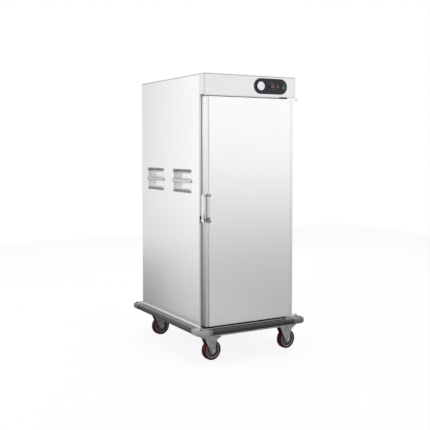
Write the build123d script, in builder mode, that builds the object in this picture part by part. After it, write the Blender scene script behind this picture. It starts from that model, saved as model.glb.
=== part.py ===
from build123d import *
import os
from math import cos, radians, sin

os.makedirs("parts", exist_ok=True)

# An electric holding cabinet on castors. X runs left to right, Y front to back, Z up.
# The origin is on the floor, under the middle of the bumper's outline. Millimetres.
body_width = 676.0
body_depth = 922.0
overall_height = 1780.0
base_bottom = 164.0
base_top = 220.0
head_bottom = 1650.0
head_step = 60.0
sheet = 1.5
liner_sheet = 1.2
edge_radius = 8.0
edge_return = 16.0

half_width = body_width / 2
front_y = -body_depth / 2
back_y = body_depth / 2
frame_y = front_y + head_step
roof_z = overall_height - sheet

# The heated cavity, measured between the liner's inner faces.
cavity_half_width = 290.0
cavity_back_y = 395.0
cavity_floor = 262.0
cavity_top = 1600.0
liner_front_y = frame_y + sheet

# The door is a flush slab in front of the frame, hung on pivots outside its right edge.
door_left = -322.0
door_right = 308.0
door_bottom = 230.0
door_top = 1640.0
door_back_y = frame_y - 4.0
door_skin_sheet = 1.2
door_edge_radius = 10.0
pivot_x = 356.0
pivot_y = front_y + 14.0

# The base frame stands out a little at the sides, and the bumper runs all round it.
base_ledge = 15.0
base_half_width = half_width + base_ledge
bumper_reach = 50.0
bumper_bottom = 182.0
bumper_top = 218.0
corner_arm = 50.0

# Two recessed grips a side.
grip_centres_y = (-167.0, 229.0)
grip_z = 1118.0
grip_length = 258.0
grip_height = 150.0
grip_depth = 36.0
grip_lip = 7.0

# Castors: 125 mm wheels on swivelling forks, all trailing to the right.
wheel_radius = 62.5
wheel_width = 38.0
trail = 36.0
castor_x = 284.0
castor_front_y = -390.0
castor_rear_y = 350.0
castor_turn = 4.0
castor_plate_bottom = 160.0

# The control group on the head.
panel_x = 143.0
panel_z = 1716.0
panel_length = 248.0
panel_height = 98.0
panel_proud = 5.0
dial_x = 66.0
knob_x = 145.0
lamp_x = 190.0
switch_x = 237.0
panel_face_y = front_y - panel_proud


# Cabinet shell

def wall_plane(side, y):
    # On the outer face of a side wall at grip height, looking into the cabinet.
    return Plane(origin=(side * half_width, y, grip_z), x_dir=(0, -side, 0), z_dir=(-side, 0, 0))


with BuildPart() as side_panels:
    for side in (-1, 1):
        inner_side = Side.RIGHT if side < 0 else Side.LEFT
        bend_x = side * (half_width - edge_return)
        with BuildSketch(Plane.XY.offset(base_top)):
            with BuildLine():
                FilletPolyline(
                    (bend_x, frame_y),
                    (side * half_width, frame_y),
                    (side * half_width, back_y),
                    (bend_x, back_y),
                    radius=edge_radius,
                )
                offset(amount=sheet, side=inner_side)
            make_face()
        extrude(amount=roof_z - base_top)
        for y in grip_centres_y:
            with BuildSketch(wall_plane(side, y)):
                RectangleRounded(grip_length - 2 * grip_lip, grip_height - 2 * grip_lip, 12)
            extrude(amount=2 * sheet, mode=Mode.SUBTRACT)

side_panels.part.label = "side_panels"
export_step(side_panels.part, "parts/side_panels.step")

gland_x = 240.0
gland_z = 1710.0
gland_hole_radius = 10.5
gland_nut_radius = 15.0
gland_nut_height = 6.0
gland_inner_nut_height = 5.0
gland_cap_radius = 13.0
gland_cap_length = 14.0
gland_cap_taper = 14.0
gland_bore_radius = 4.5

with BuildPart() as back_panel:
    with BuildSketch(Plane.XZ.offset(-back_y)):
        with Locations((0, (base_top + roof_z) / 2)):
            Rectangle(2 * (half_width - edge_return), roof_z - base_top)
        with Locations((gland_x, gland_z)):
            Circle(gland_hole_radius, mode=Mode.SUBTRACT)
    extrude(amount=sheet)

back_panel.part.label = "back_panel"
export_step(back_panel.part, "parts/back_panel.step")

# The roof laps over the side panels and turns down inside them.
roof_flange = 18.0

with BuildPart() as top_panel:
    with BuildSketch(Plane.XY.offset(roof_z)) as roof_outline:
        with Locations((0, (frame_y + back_y) / 2)):
            Rectangle(body_width, back_y - frame_y)
        fillet(roof_outline.vertices().group_by(Axis.Y)[-1], edge_radius)
    extrude(amount=sheet)
    with BuildSketch(Plane.XY.offset(roof_z)):
        with Locations((0, (frame_y + back_y) / 2)):
            RectangleRounded(body_width - 2 * sheet, back_y - frame_y - 2 * sheet, edge_radius)
            RectangleRounded(
                body_width - 4 * sheet,
                back_y - frame_y - 4 * sheet,
                edge_radius - sheet,
                mode=Mode.SUBTRACT,
            )
    extrude(amount=-roof_flange)

top_panel.part.label = "top_panel"
export_step(top_panel.part, "parts/top_panel.step")

with BuildPart() as front_frame:
    with BuildSketch(Plane.XZ.offset(-frame_y)):
        with Locations((0, (base_top + roof_z - roof_flange) / 2)):
            Rectangle(2 * (half_width - edge_return), roof_z - roof_flange - base_top)
        with Locations((0, (cavity_floor + cavity_top) / 2)):
            Rectangle(2 * cavity_half_width, cavity_top - cavity_floor, mode=Mode.SUBTRACT)
    extrude(amount=-sheet)

front_frame.part.label = "front_frame"
export_step(front_frame.part, "parts/front_frame.step")

# The head is a folded hood that stands out as far as the door, with a window for the controls.
window_length = panel_length - 12.0
window_height = panel_height - 12.0

with BuildPart() as head_fascia:
    with BuildSketch(Plane.XY.offset(head_bottom)):
        with Locations((0, (front_y + frame_y) / 2)):
            Rectangle(body_width, head_step)
    extrude(amount=overall_height - head_bottom)
    fillet(head_fascia.edges().filter_by(Axis.Z).group_by(Axis.Y)[0], edge_radius)
    fillet(head_fascia.faces().sort_by(Axis.Y)[0].edges().filter_by(Axis.X), 3)
    offset(amount=-sheet, openings=head_fascia.faces().sort_by(Axis.Y)[-1])
    with BuildSketch(Plane.XZ.offset(-front_y)):
        with Locations((panel_x, panel_z)):
            SlotOverall(window_length, window_height)
    extrude(amount=-2 * sheet, mode=Mode.SUBTRACT)

head_fascia.part.label = "head_fascia"
export_step(head_fascia.part, "parts/head_fascia.step")


# Base frame: four channels, two cross channels and the body's bottom sheet

channel_flange = 35.0
channel_sheet = 3.0
kingpin_hole_radius = 9.0
cross_half_length = base_half_width - channel_flange
front_cross = (front_y + channel_flange, castor_front_y + 55.0)
rear_cross = (castor_rear_y - 55.0, castor_rear_y + 55.0)
channel_top = base_top - channel_sheet


def channel_profile():
    # A channel lying on its side, its web at x = 0 and its flanges towards +x.
    with BuildSketch() as profile:
        with BuildLine():
            Polyline(
                (0, base_bottom),
                (channel_flange, base_bottom),
                (channel_flange, base_bottom + channel_sheet),
                (channel_sheet, base_bottom + channel_sheet),
                (channel_sheet, channel_top - channel_sheet),
                (channel_flange, channel_top - channel_sheet),
                (channel_flange, channel_top),
                (0, channel_top),
                close=True,
            )
        make_face()
    return profile.sketch


with BuildPart() as chassis_frame:
    with BuildSketch(Plane(origin=(-base_half_width, front_y, 0), x_dir=(0, 1, 0), z_dir=(1, 0, 0))):
        add(channel_profile())
    extrude(amount=2 * base_half_width)
    side_run = body_depth - 2 * channel_flange
    with BuildSketch(Plane(origin=(-base_half_width, side_run / 2, 0), x_dir=(1, 0, 0), z_dir=(0, -1, 0))):
        add(channel_profile())
    extrude(amount=side_run, mode=Mode.ADD)
    with BuildSketch(Plane(origin=(base_half_width, back_y, 0), x_dir=(0, -1, 0), z_dir=(-1, 0, 0))):
        add(channel_profile())
    extrude(amount=2 * base_half_width)
    with BuildSketch(Plane(origin=(base_half_width, -side_run / 2, 0), x_dir=(-1, 0, 0), z_dir=(0, 1, 0))):
        add(channel_profile())
    extrude(amount=side_run)
    for low_y, high_y in (front_cross, rear_cross):
        with BuildSketch(Plane.YZ.offset(-cross_half_length)):
            with Locations(((low_y + high_y) / 2, (base_bottom + channel_top) / 2)):
                Rectangle(high_y - low_y, channel_top - base_bottom)
            with Locations(((low_y + high_y) / 2, (base_bottom + channel_top) / 2 + channel_sheet)):
                Rectangle(
                    high_y - low_y - 2 * channel_sheet,
                    channel_top - base_bottom,
                    mode=Mode.SUBTRACT,
                )
        extrude(amount=2 * cross_half_length)
    for y in (castor_front_y, castor_rear_y):
        for x in (-castor_x, castor_x):
            with BuildSketch(Plane.XY.offset(base_bottom)):
                with Locations((x, y)):
                    Circle(kingpin_hole_radius)
            extrude(amount=channel_sheet, mode=Mode.SUBTRACT)

chassis_frame.part.label = "chassis_frame"
export_step(chassis_frame.part, "parts/chassis_frame.step")

with BuildPart() as floor_pan:
    with BuildSketch(Plane.XY.offset(channel_top)):
        RectangleRounded(2 * base_half_width, body_depth, edge_radius)
    extrude(amount=channel_sheet)

floor_pan.part.label = "floor_pan"
export_step(floor_pan.part, "parts/floor_pan.step")


# Inner liner: five welded panels round the cavity

liner_outer = cavity_half_width + liner_sheet
liner_back_face = cavity_back_y + liner_sheet
fan_z = 860.0
shaft_clear_radius = 14.0
terminal_x = (-60.0, 60.0)
element_z = 284.0
element_radius = 4.0

liner_panels = []
for x in (-liner_outer, cavity_half_width):
    with BuildPart() as liner_side:
        with BuildSketch(Plane.XY.offset(cavity_floor - liner_sheet)):
            with Locations((x + liner_sheet / 2, (liner_front_y + liner_back_face) / 2)):
                Rectangle(liner_sheet, liner_back_face - liner_front_y)
        extrude(amount=cavity_top - cavity_floor + 2 * liner_sheet)
    liner_panels.append(liner_side.part)

for z in (cavity_floor - liner_sheet, cavity_top):
    with BuildPart() as liner_level:
        with BuildSketch(Plane.XY.offset(z)):
            with Locations((0, (liner_front_y + cavity_back_y) / 2)):
                Rectangle(2 * cavity_half_width, cavity_back_y - liner_front_y)
        extrude(amount=liner_sheet)
    liner_panels.append(liner_level.part)

with BuildPart() as liner_back:
    with BuildSketch(Plane.XZ.offset(-cavity_back_y)):
        with Locations((0, (cavity_floor + cavity_top) / 2)):
            Rectangle(2 * cavity_half_width, cavity_top - cavity_floor + 2 * liner_sheet)
        with Locations((0, fan_z)):
            Circle(shaft_clear_radius, mode=Mode.SUBTRACT)
        with Locations(*[(x, element_z) for x in terminal_x]):
            Circle(element_radius, mode=Mode.SUBTRACT)
    extrude(amount=-liner_sheet)
liner_panels.append(liner_back.part)

inner_liner = Compound(label="inner_liner", children=liner_panels)
export_step(inner_liner, "parts/inner_liner.step")

# Insulation slabs fill the walls, with pockets for the grips, the motor and the element's ends.
motor_radius = 45.0
motor_back_y = 452.0
insulation_top = head_bottom

with BuildPart() as wall_insulation:
    for side in (-1, 1):
        outer_x = side * (half_width - sheet)
        inner_x = side * liner_outer
        with BuildSketch(Plane.XY.offset(base_top)) as slab:
            with Locations(((outer_x + inner_x) / 2, (liner_front_y + back_y - sheet) / 2)):
                Rectangle(abs(outer_x - inner_x), back_y - sheet - liner_front_y)
            fillet(slab.vertices().group_by(Axis.X)[0 if side < 0 else -1], edge_radius)
        extrude(amount=insulation_top - base_top)
        for y in grip_centres_y:
            with BuildSketch(wall_plane(side, y)):
                Rectangle(grip_length - 2 * grip_lip + 4, grip_height - 2 * grip_lip + 4)
            extrude(amount=grip_depth + 3, mode=Mode.SUBTRACT)
    for low_z, high_z in ((base_top, cavity_floor - liner_sheet), (cavity_top + liner_sheet, insulation_top)):
        with BuildSketch(Plane.XY.offset(low_z)):
            with Locations((0, (liner_front_y + liner_back_face) / 2)):
                Rectangle(2 * liner_outer, liner_back_face - liner_front_y)
        extrude(amount=high_z - low_z)
    with BuildSketch(Plane.XZ.offset(-liner_back_face)):
        with Locations((0, (base_top + insulation_top) / 2)):
            Rectangle(2 * liner_outer, insulation_top - base_top)
        with Locations((0, fan_z)):
            Circle(motor_radius + 3, mode=Mode.SUBTRACT)
        with Locations((0, element_z)):
            SlotOverall(170, 40, mode=Mode.SUBTRACT)
    extrude(amount=-(back_y - sheet - liner_back_face))

wall_insulation.part.label = "wall_insulation"
export_step(wall_insulation.part, "parts/wall_insulation.step")


# Recessed side grips: a pressed trough with a scoop above and below, and a bar across its mouth

scoop_radius = 27.0
pan_wall = 1.2
pan_length = grip_length - 2 * grip_lip - 2.0
pan_height = grip_height - 2 * grip_lip - 2.0
pan_end_radius = 10.0


def grip_trough(side, y):
    mouth = wall_plane(side, y)
    with BuildPart() as trough:
        with BuildSketch(Plane(origin=mouth.origin, x_dir=mouth.z_dir, z_dir=-mouth.x_dir)):
            with BuildLine():
                bowl = FilletPolyline(
                    (0, pan_height / 2),
                    (grip_depth, pan_height / 2),
                    (grip_depth, -pan_height / 2),
                    (0, -pan_height / 2),
                    radius=scoop_radius,
                )
                Line(bowl @ 1, bowl @ 0)
            make_face()
        extrude(amount=pan_length / 2, both=True)
        open_face = trough.faces().sort_by(Axis.X)[0 if side < 0 else -1]
        end_edges = trough.faces().filter_by(Axis.Y).edges() - open_face.edges()
        fillet(end_edges, pan_end_radius)
        open_face = trough.faces().sort_by(Axis.X)[0 if side < 0 else -1]
        offset(amount=-pan_wall, openings=open_face)
    return trough.part


grip_places = [(side, y) for side in (-1, 1) for y in grip_centres_y]
troughs = [grip_trough(side, y) for side, y in grip_places]

with BuildPart() as grip_pans:
    add(troughs)
    for side, y in grip_places:
        with BuildSketch(wall_plane(side, y)):
            RectangleRounded(grip_length, grip_height, 14)
            RectangleRounded(pan_length - 2 * pan_wall, pan_height - 2 * pan_wall, 9, mode=Mode.SUBTRACT)
        extrude(amount=-pan_wall)

grip_pans.part.label = "grip_pans"
export_step(grip_pans.part, "parts/grip_pans.step")

bar_height = 18.0
bar_thickness = 8.0

with BuildPart() as grip_bars:
    for side in (-1, 1):
        for y in grip_centres_y:
            mouth = wall_plane(side, y).offset(-pan_wall)
            with BuildSketch(mouth):
                SlotOverall(grip_length + 4, bar_height)
            extrude(amount=-bar_thickness)
    outer_faces = grip_bars.faces().group_by(Axis.X)[0] + grip_bars.faces().group_by(Axis.X)[-1]
    fillet(outer_faces.edges(), 3)

grip_bars.part.label = "grip_bars"
export_step(grip_bars.part, "parts/grip_bars.step")


# Bumper: hollow rails with a groove along the nose, and thicker moulded corners

bumper_height = bumper_top - bumper_bottom
bumper_mid = (bumper_top + bumper_bottom) / 2
rail_radius = 13.0
rail_wall = 4.0
groove_height = 11.0
groove_depth = 2.0


def rail_profile(reach, height, radius):
    # Drawn with its back at x = 0 and its nose towards +x, at the bumper's mid height.
    with BuildSketch() as profile:
        with Locations((reach / 2, bumper_mid)):
            Rectangle(reach, height)
        fillet(profile.vertices().group_by(Axis.X)[-1], radius)
    return profile.sketch


def hollow_rail_profile():
    with BuildSketch() as profile:
        add(rail_profile(bumper_reach - 1, bumper_height - 2, rail_radius))
        with Locations((bumper_reach / 2 - 1, bumper_mid)):
            RectangleRounded(bumper_reach - 10, bumper_height - 2 - 2 * rail_wall, 6, mode=Mode.SUBTRACT)
        with Locations((bumper_reach - 1, bumper_mid)):
            Rectangle(2 * groove_depth, groove_height, mode=Mode.SUBTRACT)
    return profile.sketch


front_run = 2 * (base_half_width - corner_arm)
side_run_length = 2 * (back_y - corner_arm)

with BuildPart() as bumper_rails:
    for turn, wall_distance, run in (
        (0, base_half_width, side_run_length),
        (90, back_y, front_run),
        (180, base_half_width, side_run_length),
        (270, back_y, front_run),
    ):
        outward = Vector(cos(radians(turn)), sin(radians(turn)), 0)
        along = Vector(sin(radians(turn)), -cos(radians(turn)), 0)
        with BuildSketch(Plane(origin=outward * wall_distance, x_dir=outward, z_dir=along)):
            add(hollow_rail_profile())
        extrude(amount=run / 2, both=True)

bumper_rails.part.label = "bumper_rails"
export_step(bumper_rails.part, "parts/bumper_rails.step")

with BuildPart() as bumper_corners:
    for x_side, y_side, start in ((1, 1, 0), (-1, 1, 90), (-1, -1, 180), (1, -1, 270)):
        corner_x = x_side * base_half_width
        corner_y = y_side * back_y
        outward = Vector(cos(radians(start)), sin(radians(start)), 0)
        inward_run = Vector(sin(radians(start)), -cos(radians(start)), 0)
        corner = Vector(corner_x, corner_y, 0)
        next_outward = Vector(-outward.Y, outward.X, 0)
        with BuildSketch(Plane(origin=corner, x_dir=outward, z_dir=inward_run)):
            add(rail_profile(bumper_reach, bumper_height, rail_radius))
        extrude(amount=corner_arm)
        with BuildSketch(Plane(origin=corner, x_dir=outward, z_dir=inward_run)):
            add(rail_profile(bumper_reach, bumper_height, rail_radius))
        revolve(axis=Axis(corner, (0, 0, 1)), revolution_arc=90)
        with BuildSketch(Plane(origin=corner, x_dir=next_outward, z_dir=outward)):
            add(rail_profile(bumper_reach, bumper_height, rail_radius))
        extrude(amount=-corner_arm)

bumper_corners.part.label = "bumper_corners"
export_step(bumper_corners.part, "parts/bumper_corners.step")


# Tray racks: channel uprights on the liner's sides, and eleven ledges a side

upright_depth = 12.0
upright_width = 26.0
upright_bottom = 300.0
upright_top = 1570.0
upright_centres_y = (-300.0, 260.0)
ledge_count = 11
ledge_first = 400.0
ledge_pitch = 106.0
ledge_reach = 26.0
ledge_drop = 16.0
ledge_front_y = -352.0
ledge_back_y = 330.0
upright_face = cavity_half_width - upright_depth

with BuildPart() as rack_uprights:
    for side in (-1, 1):
        for y in upright_centres_y:
            with BuildSketch(Plane.XY.offset(upright_bottom)):
                with Locations((side * (upright_face + upright_depth / 2), y)):
                    Rectangle(upright_depth, upright_width)
                with Locations((side * (upright_face + upright_depth / 2 + sheet), y)):
                    Rectangle(upright_depth, upright_width - 2 * sheet, mode=Mode.SUBTRACT)
            extrude(amount=upright_top - upright_bottom)

rack_uprights.part.label = "rack_uprights"
export_step(rack_uprights.part, "parts/rack_uprights.step")

with BuildPart() as tray_rails:
    for side in (-1, 1):
        for level in range(ledge_count):
            ledge_z = ledge_first + level * ledge_pitch
            with BuildSketch(Plane.XZ.offset(-ledge_front_y)):
                with BuildLine():
                    Polyline(
                        (side * upright_face, ledge_z),
                        (side * (upright_face - ledge_reach), ledge_z),
                        (side * (upright_face - ledge_reach), ledge_z - sheet),
                        (side * (upright_face - sheet), ledge_z - sheet),
                        (side * (upright_face - sheet), ledge_z - ledge_drop),
                        (side * upright_face, ledge_z - ledge_drop),
                        close=True,
                    )
                make_face()
            extrude(amount=ledge_front_y - ledge_back_y)

tray_rails.part.label = "tray_rails"
export_step(tray_rails.part, "parts/tray_rails.step")


# Heat: a tubular element on the cavity's floor, under a water pan on a bent stand

element_end_y = 432.0
element_reach_x = 200.0
element_reach_y = 250.0

with BuildPart() as heating_element:
    with BuildLine(Plane.XY.offset(element_z)) as element_path:
        FilletPolyline(
            (-60, element_end_y),
            (-60, element_reach_y),
            (-element_reach_x, element_reach_y),
            (-element_reach_x, -element_reach_y),
            (element_reach_x, -element_reach_y),
            (element_reach_x, element_reach_y),
            (60, element_reach_y),
            (60, element_end_y),
            radius=38,
        )
    with BuildSketch(Plane(origin=element_path.line @ 0, z_dir=element_path.line % 0)):
        Circle(element_radius)
    sweep()

heating_element.part.label = "heating_element"
export_step(heating_element.part, "parts/heating_element.step")

stand_half_width = 150.0
stand_half_length = 276.0
stand_top = 306.0
stand_foot = 14.0
stand_slot = (34.0, 10.0)

with BuildPart() as pan_stand:
    with BuildSketch(Plane.XZ.offset(-stand_half_length)):
        with BuildLine():
            Polyline(
                (-stand_half_width - stand_foot, cavity_floor),
                (-stand_half_width + sheet, cavity_floor),
                (-stand_half_width + sheet, stand_top - sheet),
                (stand_half_width - sheet, stand_top - sheet),
                (stand_half_width - sheet, cavity_floor),
                (stand_half_width + stand_foot, cavity_floor),
                (stand_half_width + stand_foot, cavity_floor + sheet),
                (stand_half_width, cavity_floor + sheet),
                (stand_half_width, stand_top),
                (-stand_half_width, stand_top),
                (-stand_half_width, cavity_floor + sheet),
                (-stand_half_width - stand_foot, cavity_floor + sheet),
                close=True,
            )
        make_face()
    extrude(amount=2 * stand_half_length)
    with BuildSketch(Plane.YZ):
        with Locations((-element_reach_y, element_z), (element_reach_y, element_z)):
            Circle(element_radius)
    extrude(amount=2 * stand_half_width, both=True, mode=Mode.SUBTRACT)
    with BuildSketch(Plane.XY.offset(stand_top)):
        with GridLocations(44, 92, 6, 5):
            SlotOverall(*stand_slot, rotation=90)
    extrude(amount=-sheet, mode=Mode.SUBTRACT)

pan_stand.part.label = "pan_stand"
export_step(pan_stand.part, "parts/pan_stand.step")

water_pan_width = 325.0
water_pan_length = 530.0
water_pan_depth = 62.0
water_pan_wall = 1.0
pan_rim = 14.0


def water_pan_form(inset):
    rim_inset = 2 * (pan_rim + inset)
    with BuildPart() as form:
        with BuildSketch(Plane.XY.offset(stand_top + water_pan_depth)):
            RectangleRounded(water_pan_width - rim_inset, water_pan_length - rim_inset, 26 - inset)
        extrude(amount=inset - water_pan_depth, taper=4)
        fillet(form.faces().sort_by(Axis.Z)[0].edges(), 12 - inset)
    return form.part


pan_outside = water_pan_form(0)
pan_inside = water_pan_form(water_pan_wall)

with BuildPart() as water_pan:
    add(pan_outside)
    with BuildSketch(Plane.XY.offset(stand_top + water_pan_depth)):
        RectangleRounded(water_pan_width, water_pan_length, 30)
    extrude(amount=-water_pan_wall)
    add(pan_inside, mode=Mode.SUBTRACT)

water_pan.part.label = "water_pan"
export_step(water_pan.part, "parts/water_pan.step")


# Air: a motor behind the liner, a bladed wheel, and a slotted cover

shaft_radius = 4.0
running_fit = 0.06
fan_back_y = 390.0
fan_front_y = 366.0
fan_radius = 85.0
shaft_end_y = 418.0
blade_count = 8
blade_length = 56.0
blade_centre_radius = 48.0
blade_pitch = 28.0
blade_sheet = 2.0
fan_boss_radius = 13.0

with BuildPart() as fan_motor:
    with BuildSketch(Plane.XZ.offset(-liner_back_face)):
        with Locations((0, fan_z)):
            Circle(motor_radius)
    extrude(amount=liner_back_face - motor_back_y)
    fillet(fan_motor.faces().sort_by(Axis.Y)[-1].edges(), 6)
    with BuildSketch(Plane.XZ.offset(-liner_back_face)):
        with Locations((0, fan_z)):
            Circle(shaft_radius + running_fit)
    extrude(amount=liner_back_face - shaft_end_y - 2, mode=Mode.SUBTRACT)

fan_motor.part.label = "fan_motor"
export_step(fan_motor.part, "parts/fan_motor.step")

with BuildPart() as fan_wheel:
    with BuildSketch(Plane.XZ.offset(-fan_back_y)):
        with Locations((0, fan_z)):
            Circle(fan_radius)
    extrude(amount=blade_sheet)
    with BuildSketch(Plane.XZ.offset(-fan_back_y)):
        with Locations((0, fan_z)):
            Circle(fan_boss_radius)
    extrude(amount=fan_back_y - fan_front_y)
    with BuildSketch(Plane.XZ.offset(-fan_back_y)):
        with Locations((0, fan_z)):
            with PolarLocations(blade_centre_radius, blade_count):
                Rectangle(blade_length, blade_sheet, rotation=blade_pitch)
    extrude(amount=fan_back_y - fan_front_y)
    with BuildSketch(Plane.XZ.offset(-shaft_end_y)):
        with Locations((0, fan_z)):
            Circle(shaft_radius)
    extrude(amount=shaft_end_y - fan_back_y)

fan_wheel.part.label = "fan_wheel"
export_step(fan_wheel.part, "parts/fan_wheel.step")

cover_half_width = 220.0
cover_half_height = 280.0
cover_front_y = 350.0
cover_radius = 6.0
air_slot = (15.0, 7.0)
air_rows_reach = 225.0
intake_inner = (34.0, 9.0)
intake_outer = (26.0, 9.0)


def cover_form(inset):
    with BuildPart() as form:
        with BuildSketch(Plane.XZ.offset(-cavity_back_y)):
            with Locations((0, fan_z)):
                Rectangle(2 * (cover_half_width - inset), 2 * (cover_half_height - inset))
        extrude(amount=cavity_back_y - cover_front_y - inset)
        fillet(form.faces().sort_by(Axis.Y)[0].edges(), cover_radius - inset)
    return form.part


cover_outside = cover_form(0)
cover_inside = cover_form(liner_sheet)

with BuildPart() as fan_cover:
    add(cover_outside)
    add(cover_inside, mode=Mode.SUBTRACT)
    with BuildSketch(Plane.XZ.offset(-cover_front_y)):
        with Locations((0, fan_z)):
            with PolarLocations(38, 8):
                SlotOverall(*intake_inner)
            with PolarLocations(74, 16):
                SlotOverall(*intake_outer)
        for z in (fan_z - air_rows_reach, fan_z + air_rows_reach):
            with Locations((0, z)):
                with GridLocations(30, 22, 12, 2):
                    SlotOverall(*air_slot, rotation=90)
    extrude(amount=-2 * liner_sheet, mode=Mode.SUBTRACT)

fan_cover.part.label = "fan_cover"
export_step(fan_cover.part, "parts/fan_cover.step")


# Cable gland in the back of the head

with BuildPart() as cable_gland:
    with BuildSketch(Plane.XZ.offset(-(back_y - sheet))):
        with Locations((gland_x, gland_z)):
            Circle(gland_hole_radius)
    extrude(amount=-sheet)
    with BuildSketch(Plane.XZ.offset(-back_y)):
        with Locations((gland_x, gland_z)):
            RegularPolygon(gland_nut_radius, 6)
    extrude(amount=-gland_nut_height)
    with BuildSketch(Plane.XZ.offset(-(back_y + gland_nut_height))):
        with Locations((gland_x, gland_z)):
            Circle(gland_cap_radius)
    extrude(amount=-gland_cap_length, taper=gland_cap_taper)
    with BuildSketch(Plane.XZ.offset(-(back_y - sheet))):
        with Locations((gland_x, gland_z)):
            RegularPolygon(gland_nut_radius, 6)
    extrude(amount=gland_inner_nut_height)
    with BuildSketch(Plane.XZ.offset(-back_y)):
        with Locations((gland_x, gland_z)):
            Circle(gland_bore_radius)
    extrude(amount=2 * gland_cap_length, both=True, mode=Mode.SUBTRACT)

cable_gland.part.label = "cable_gland"
export_step(cable_gland.part, "parts/cable_gland.step")


# Controls: a raised black plate with a thermometer, the thermostat's knob, a lamp and a switch

panel_boss = 8.0
panel_back_y = front_y + panel_boss
bezel_radius = 32.0
bezel_depth = 4.0
case_radius = 29.0
case_back_y = -430.0
dial_radius = 27.5
dial_front_y = panel_face_y + 3.0
dial_sheet = 1.0
needle_shaft_radius = 1.0
needle_fit = 0.05
lamp_radius = 8.0
lamp_collar_radius = 11.0
lamp_collar_height = 2.0
lens_radius = 9.5
lens_height = 6.0
lens_round = 4.0
switch_width = 26.0
switch_height = 36.0
switch_back_y = -440.0
stem_radius = 4.0

with BuildPart() as control_panel:
    with BuildSketch(Plane.XZ.offset(-front_y)):
        with Locations((panel_x, panel_z)):
            SlotOverall(panel_length, panel_height)
    extrude(amount=panel_proud)
    fillet(control_panel.faces().sort_by(Axis.Y)[0].edges(), 2.5)
    with BuildSketch(Plane.XZ.offset(-front_y)):
        with Locations((panel_x, panel_z)):
            SlotOverall(window_length, window_height)
    extrude(amount=-panel_boss)
    with BuildSketch(Plane.XZ.offset(-panel_back_y)):
        with Locations((dial_x, panel_z)):
            Circle(case_radius)
        with Locations((knob_x, panel_z)):
            Circle(stem_radius + 2)
        with Locations((lamp_x, panel_z)):
            Circle(lamp_radius)
        with Locations((switch_x, panel_z)):
            Rectangle(switch_width, switch_height)
    extrude(amount=panel_proud + panel_boss, mode=Mode.SUBTRACT)

control_panel.part.label = "control_panel"
export_step(control_panel.part, "parts/control_panel.step")

with BuildPart() as thermometer_case:
    with BuildSketch(Plane.XZ.offset(-panel_face_y)):
        with Locations((dial_x, panel_z)):
            Circle(bezel_radius)
    extrude(amount=bezel_depth)
    fillet(thermometer_case.faces().sort_by(Axis.Y)[0].edges(), 2)
    with BuildSketch(Plane.XZ.offset(-case_back_y)):
        with Locations((dial_x, panel_z)):
            Circle(case_radius)
    extrude(amount=case_back_y - panel_face_y)
    with BuildSketch(Plane.XZ.offset(-(dial_front_y + dial_sheet))):
        with Locations((dial_x, panel_z)):
            Circle(dial_radius)
    extrude(amount=dial_front_y + dial_sheet - panel_face_y + bezel_depth, mode=Mode.SUBTRACT)
    with BuildSketch(Plane.XZ.offset(-(dial_front_y + 10))):
        with Locations((dial_x, panel_z)):
            Circle(needle_shaft_radius + needle_fit)
    extrude(amount=10, mode=Mode.SUBTRACT)

thermometer_case.part.label = "thermometer_case"
export_step(thermometer_case.part, "parts/thermometer_case.step")

with BuildPart() as thermometer_dial:
    with BuildSketch(Plane.XZ.offset(-(dial_front_y + dial_sheet))):
        with Locations((dial_x, panel_z)):
            Circle(dial_radius)
            Circle(needle_shaft_radius + needle_fit, mode=Mode.SUBTRACT)
    extrude(amount=dial_sheet)

thermometer_dial.part.label = "thermometer_dial"
export_step(thermometer_dial.part, "parts/thermometer_dial.step")

glass_front_y = panel_face_y - bezel_depth + 0.5
glass_thickness = 1.2

with BuildPart() as thermometer_glass:
    with BuildSketch(Plane.XZ.offset(-glass_front_y)):
        with Locations((dial_x, panel_z)):
            Circle(dial_radius)
    extrude(amount=-glass_thickness)

thermometer_glass.part.label = "thermometer_glass"
export_step(thermometer_glass.part, "parts/thermometer_glass.step")

needle_angle = 225.0
needle_length = 22.0
needle_back_y = dial_front_y - 1.2
needle_sheet = 0.8
needle_hub_radius = 3.0
needle_tip_radius = 0.4
needle_shaft_length = 8.0

with BuildPart() as thermometer_needle:
    with BuildSketch(Plane.XZ.offset(-needle_back_y)) as needle_outline:
        with BuildLine(mode=Mode.PRIVATE) as pointer:
            PolarLine((0, 0), needle_length, needle_angle)
        with Locations((dial_x, panel_z)):
            Circle(needle_hub_radius)
        with Locations((dial_x + (pointer.line @ 1).X, panel_z + (pointer.line @ 1).Y)):
            Circle(needle_tip_radius)
        make_hull()
    extrude(amount=needle_sheet)
    with BuildSketch(Plane.XZ.offset(-needle_back_y)):
        with Locations((dial_x, panel_z)):
            Circle(needle_shaft_radius)
    extrude(amount=-needle_shaft_length)

thermometer_needle.part.label = "thermometer_needle"
export_step(thermometer_needle.part, "parts/thermometer_needle.step")

thermostat_width = 44.0
thermostat_back_y = -423.0
stem_end_y = -430.0
knob_radius = 18.0
knob_skirt = 3.0
knob_back_y = panel_face_y - 0.5
knob_front_y = -484.0
knob_grip_radius = 14.5
flute_count = 12

with BuildPart() as thermostat_body:
    with BuildSketch(Plane.XZ.offset(-thermostat_back_y)):
        with Locations((knob_x, panel_z)):
            RectangleRounded(thermostat_width, thermostat_width, 4)
    extrude(amount=thermostat_back_y - panel_back_y)
    with BuildSketch(Plane.XZ.offset(-stem_end_y)):
        with Locations((knob_x, panel_z)):
            Circle(stem_radius + running_fit)
    extrude(amount=stem_end_y - panel_back_y, mode=Mode.SUBTRACT)

thermostat_body.part.label = "thermostat_body"
export_step(thermostat_body.part, "parts/thermostat_body.step")

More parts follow.
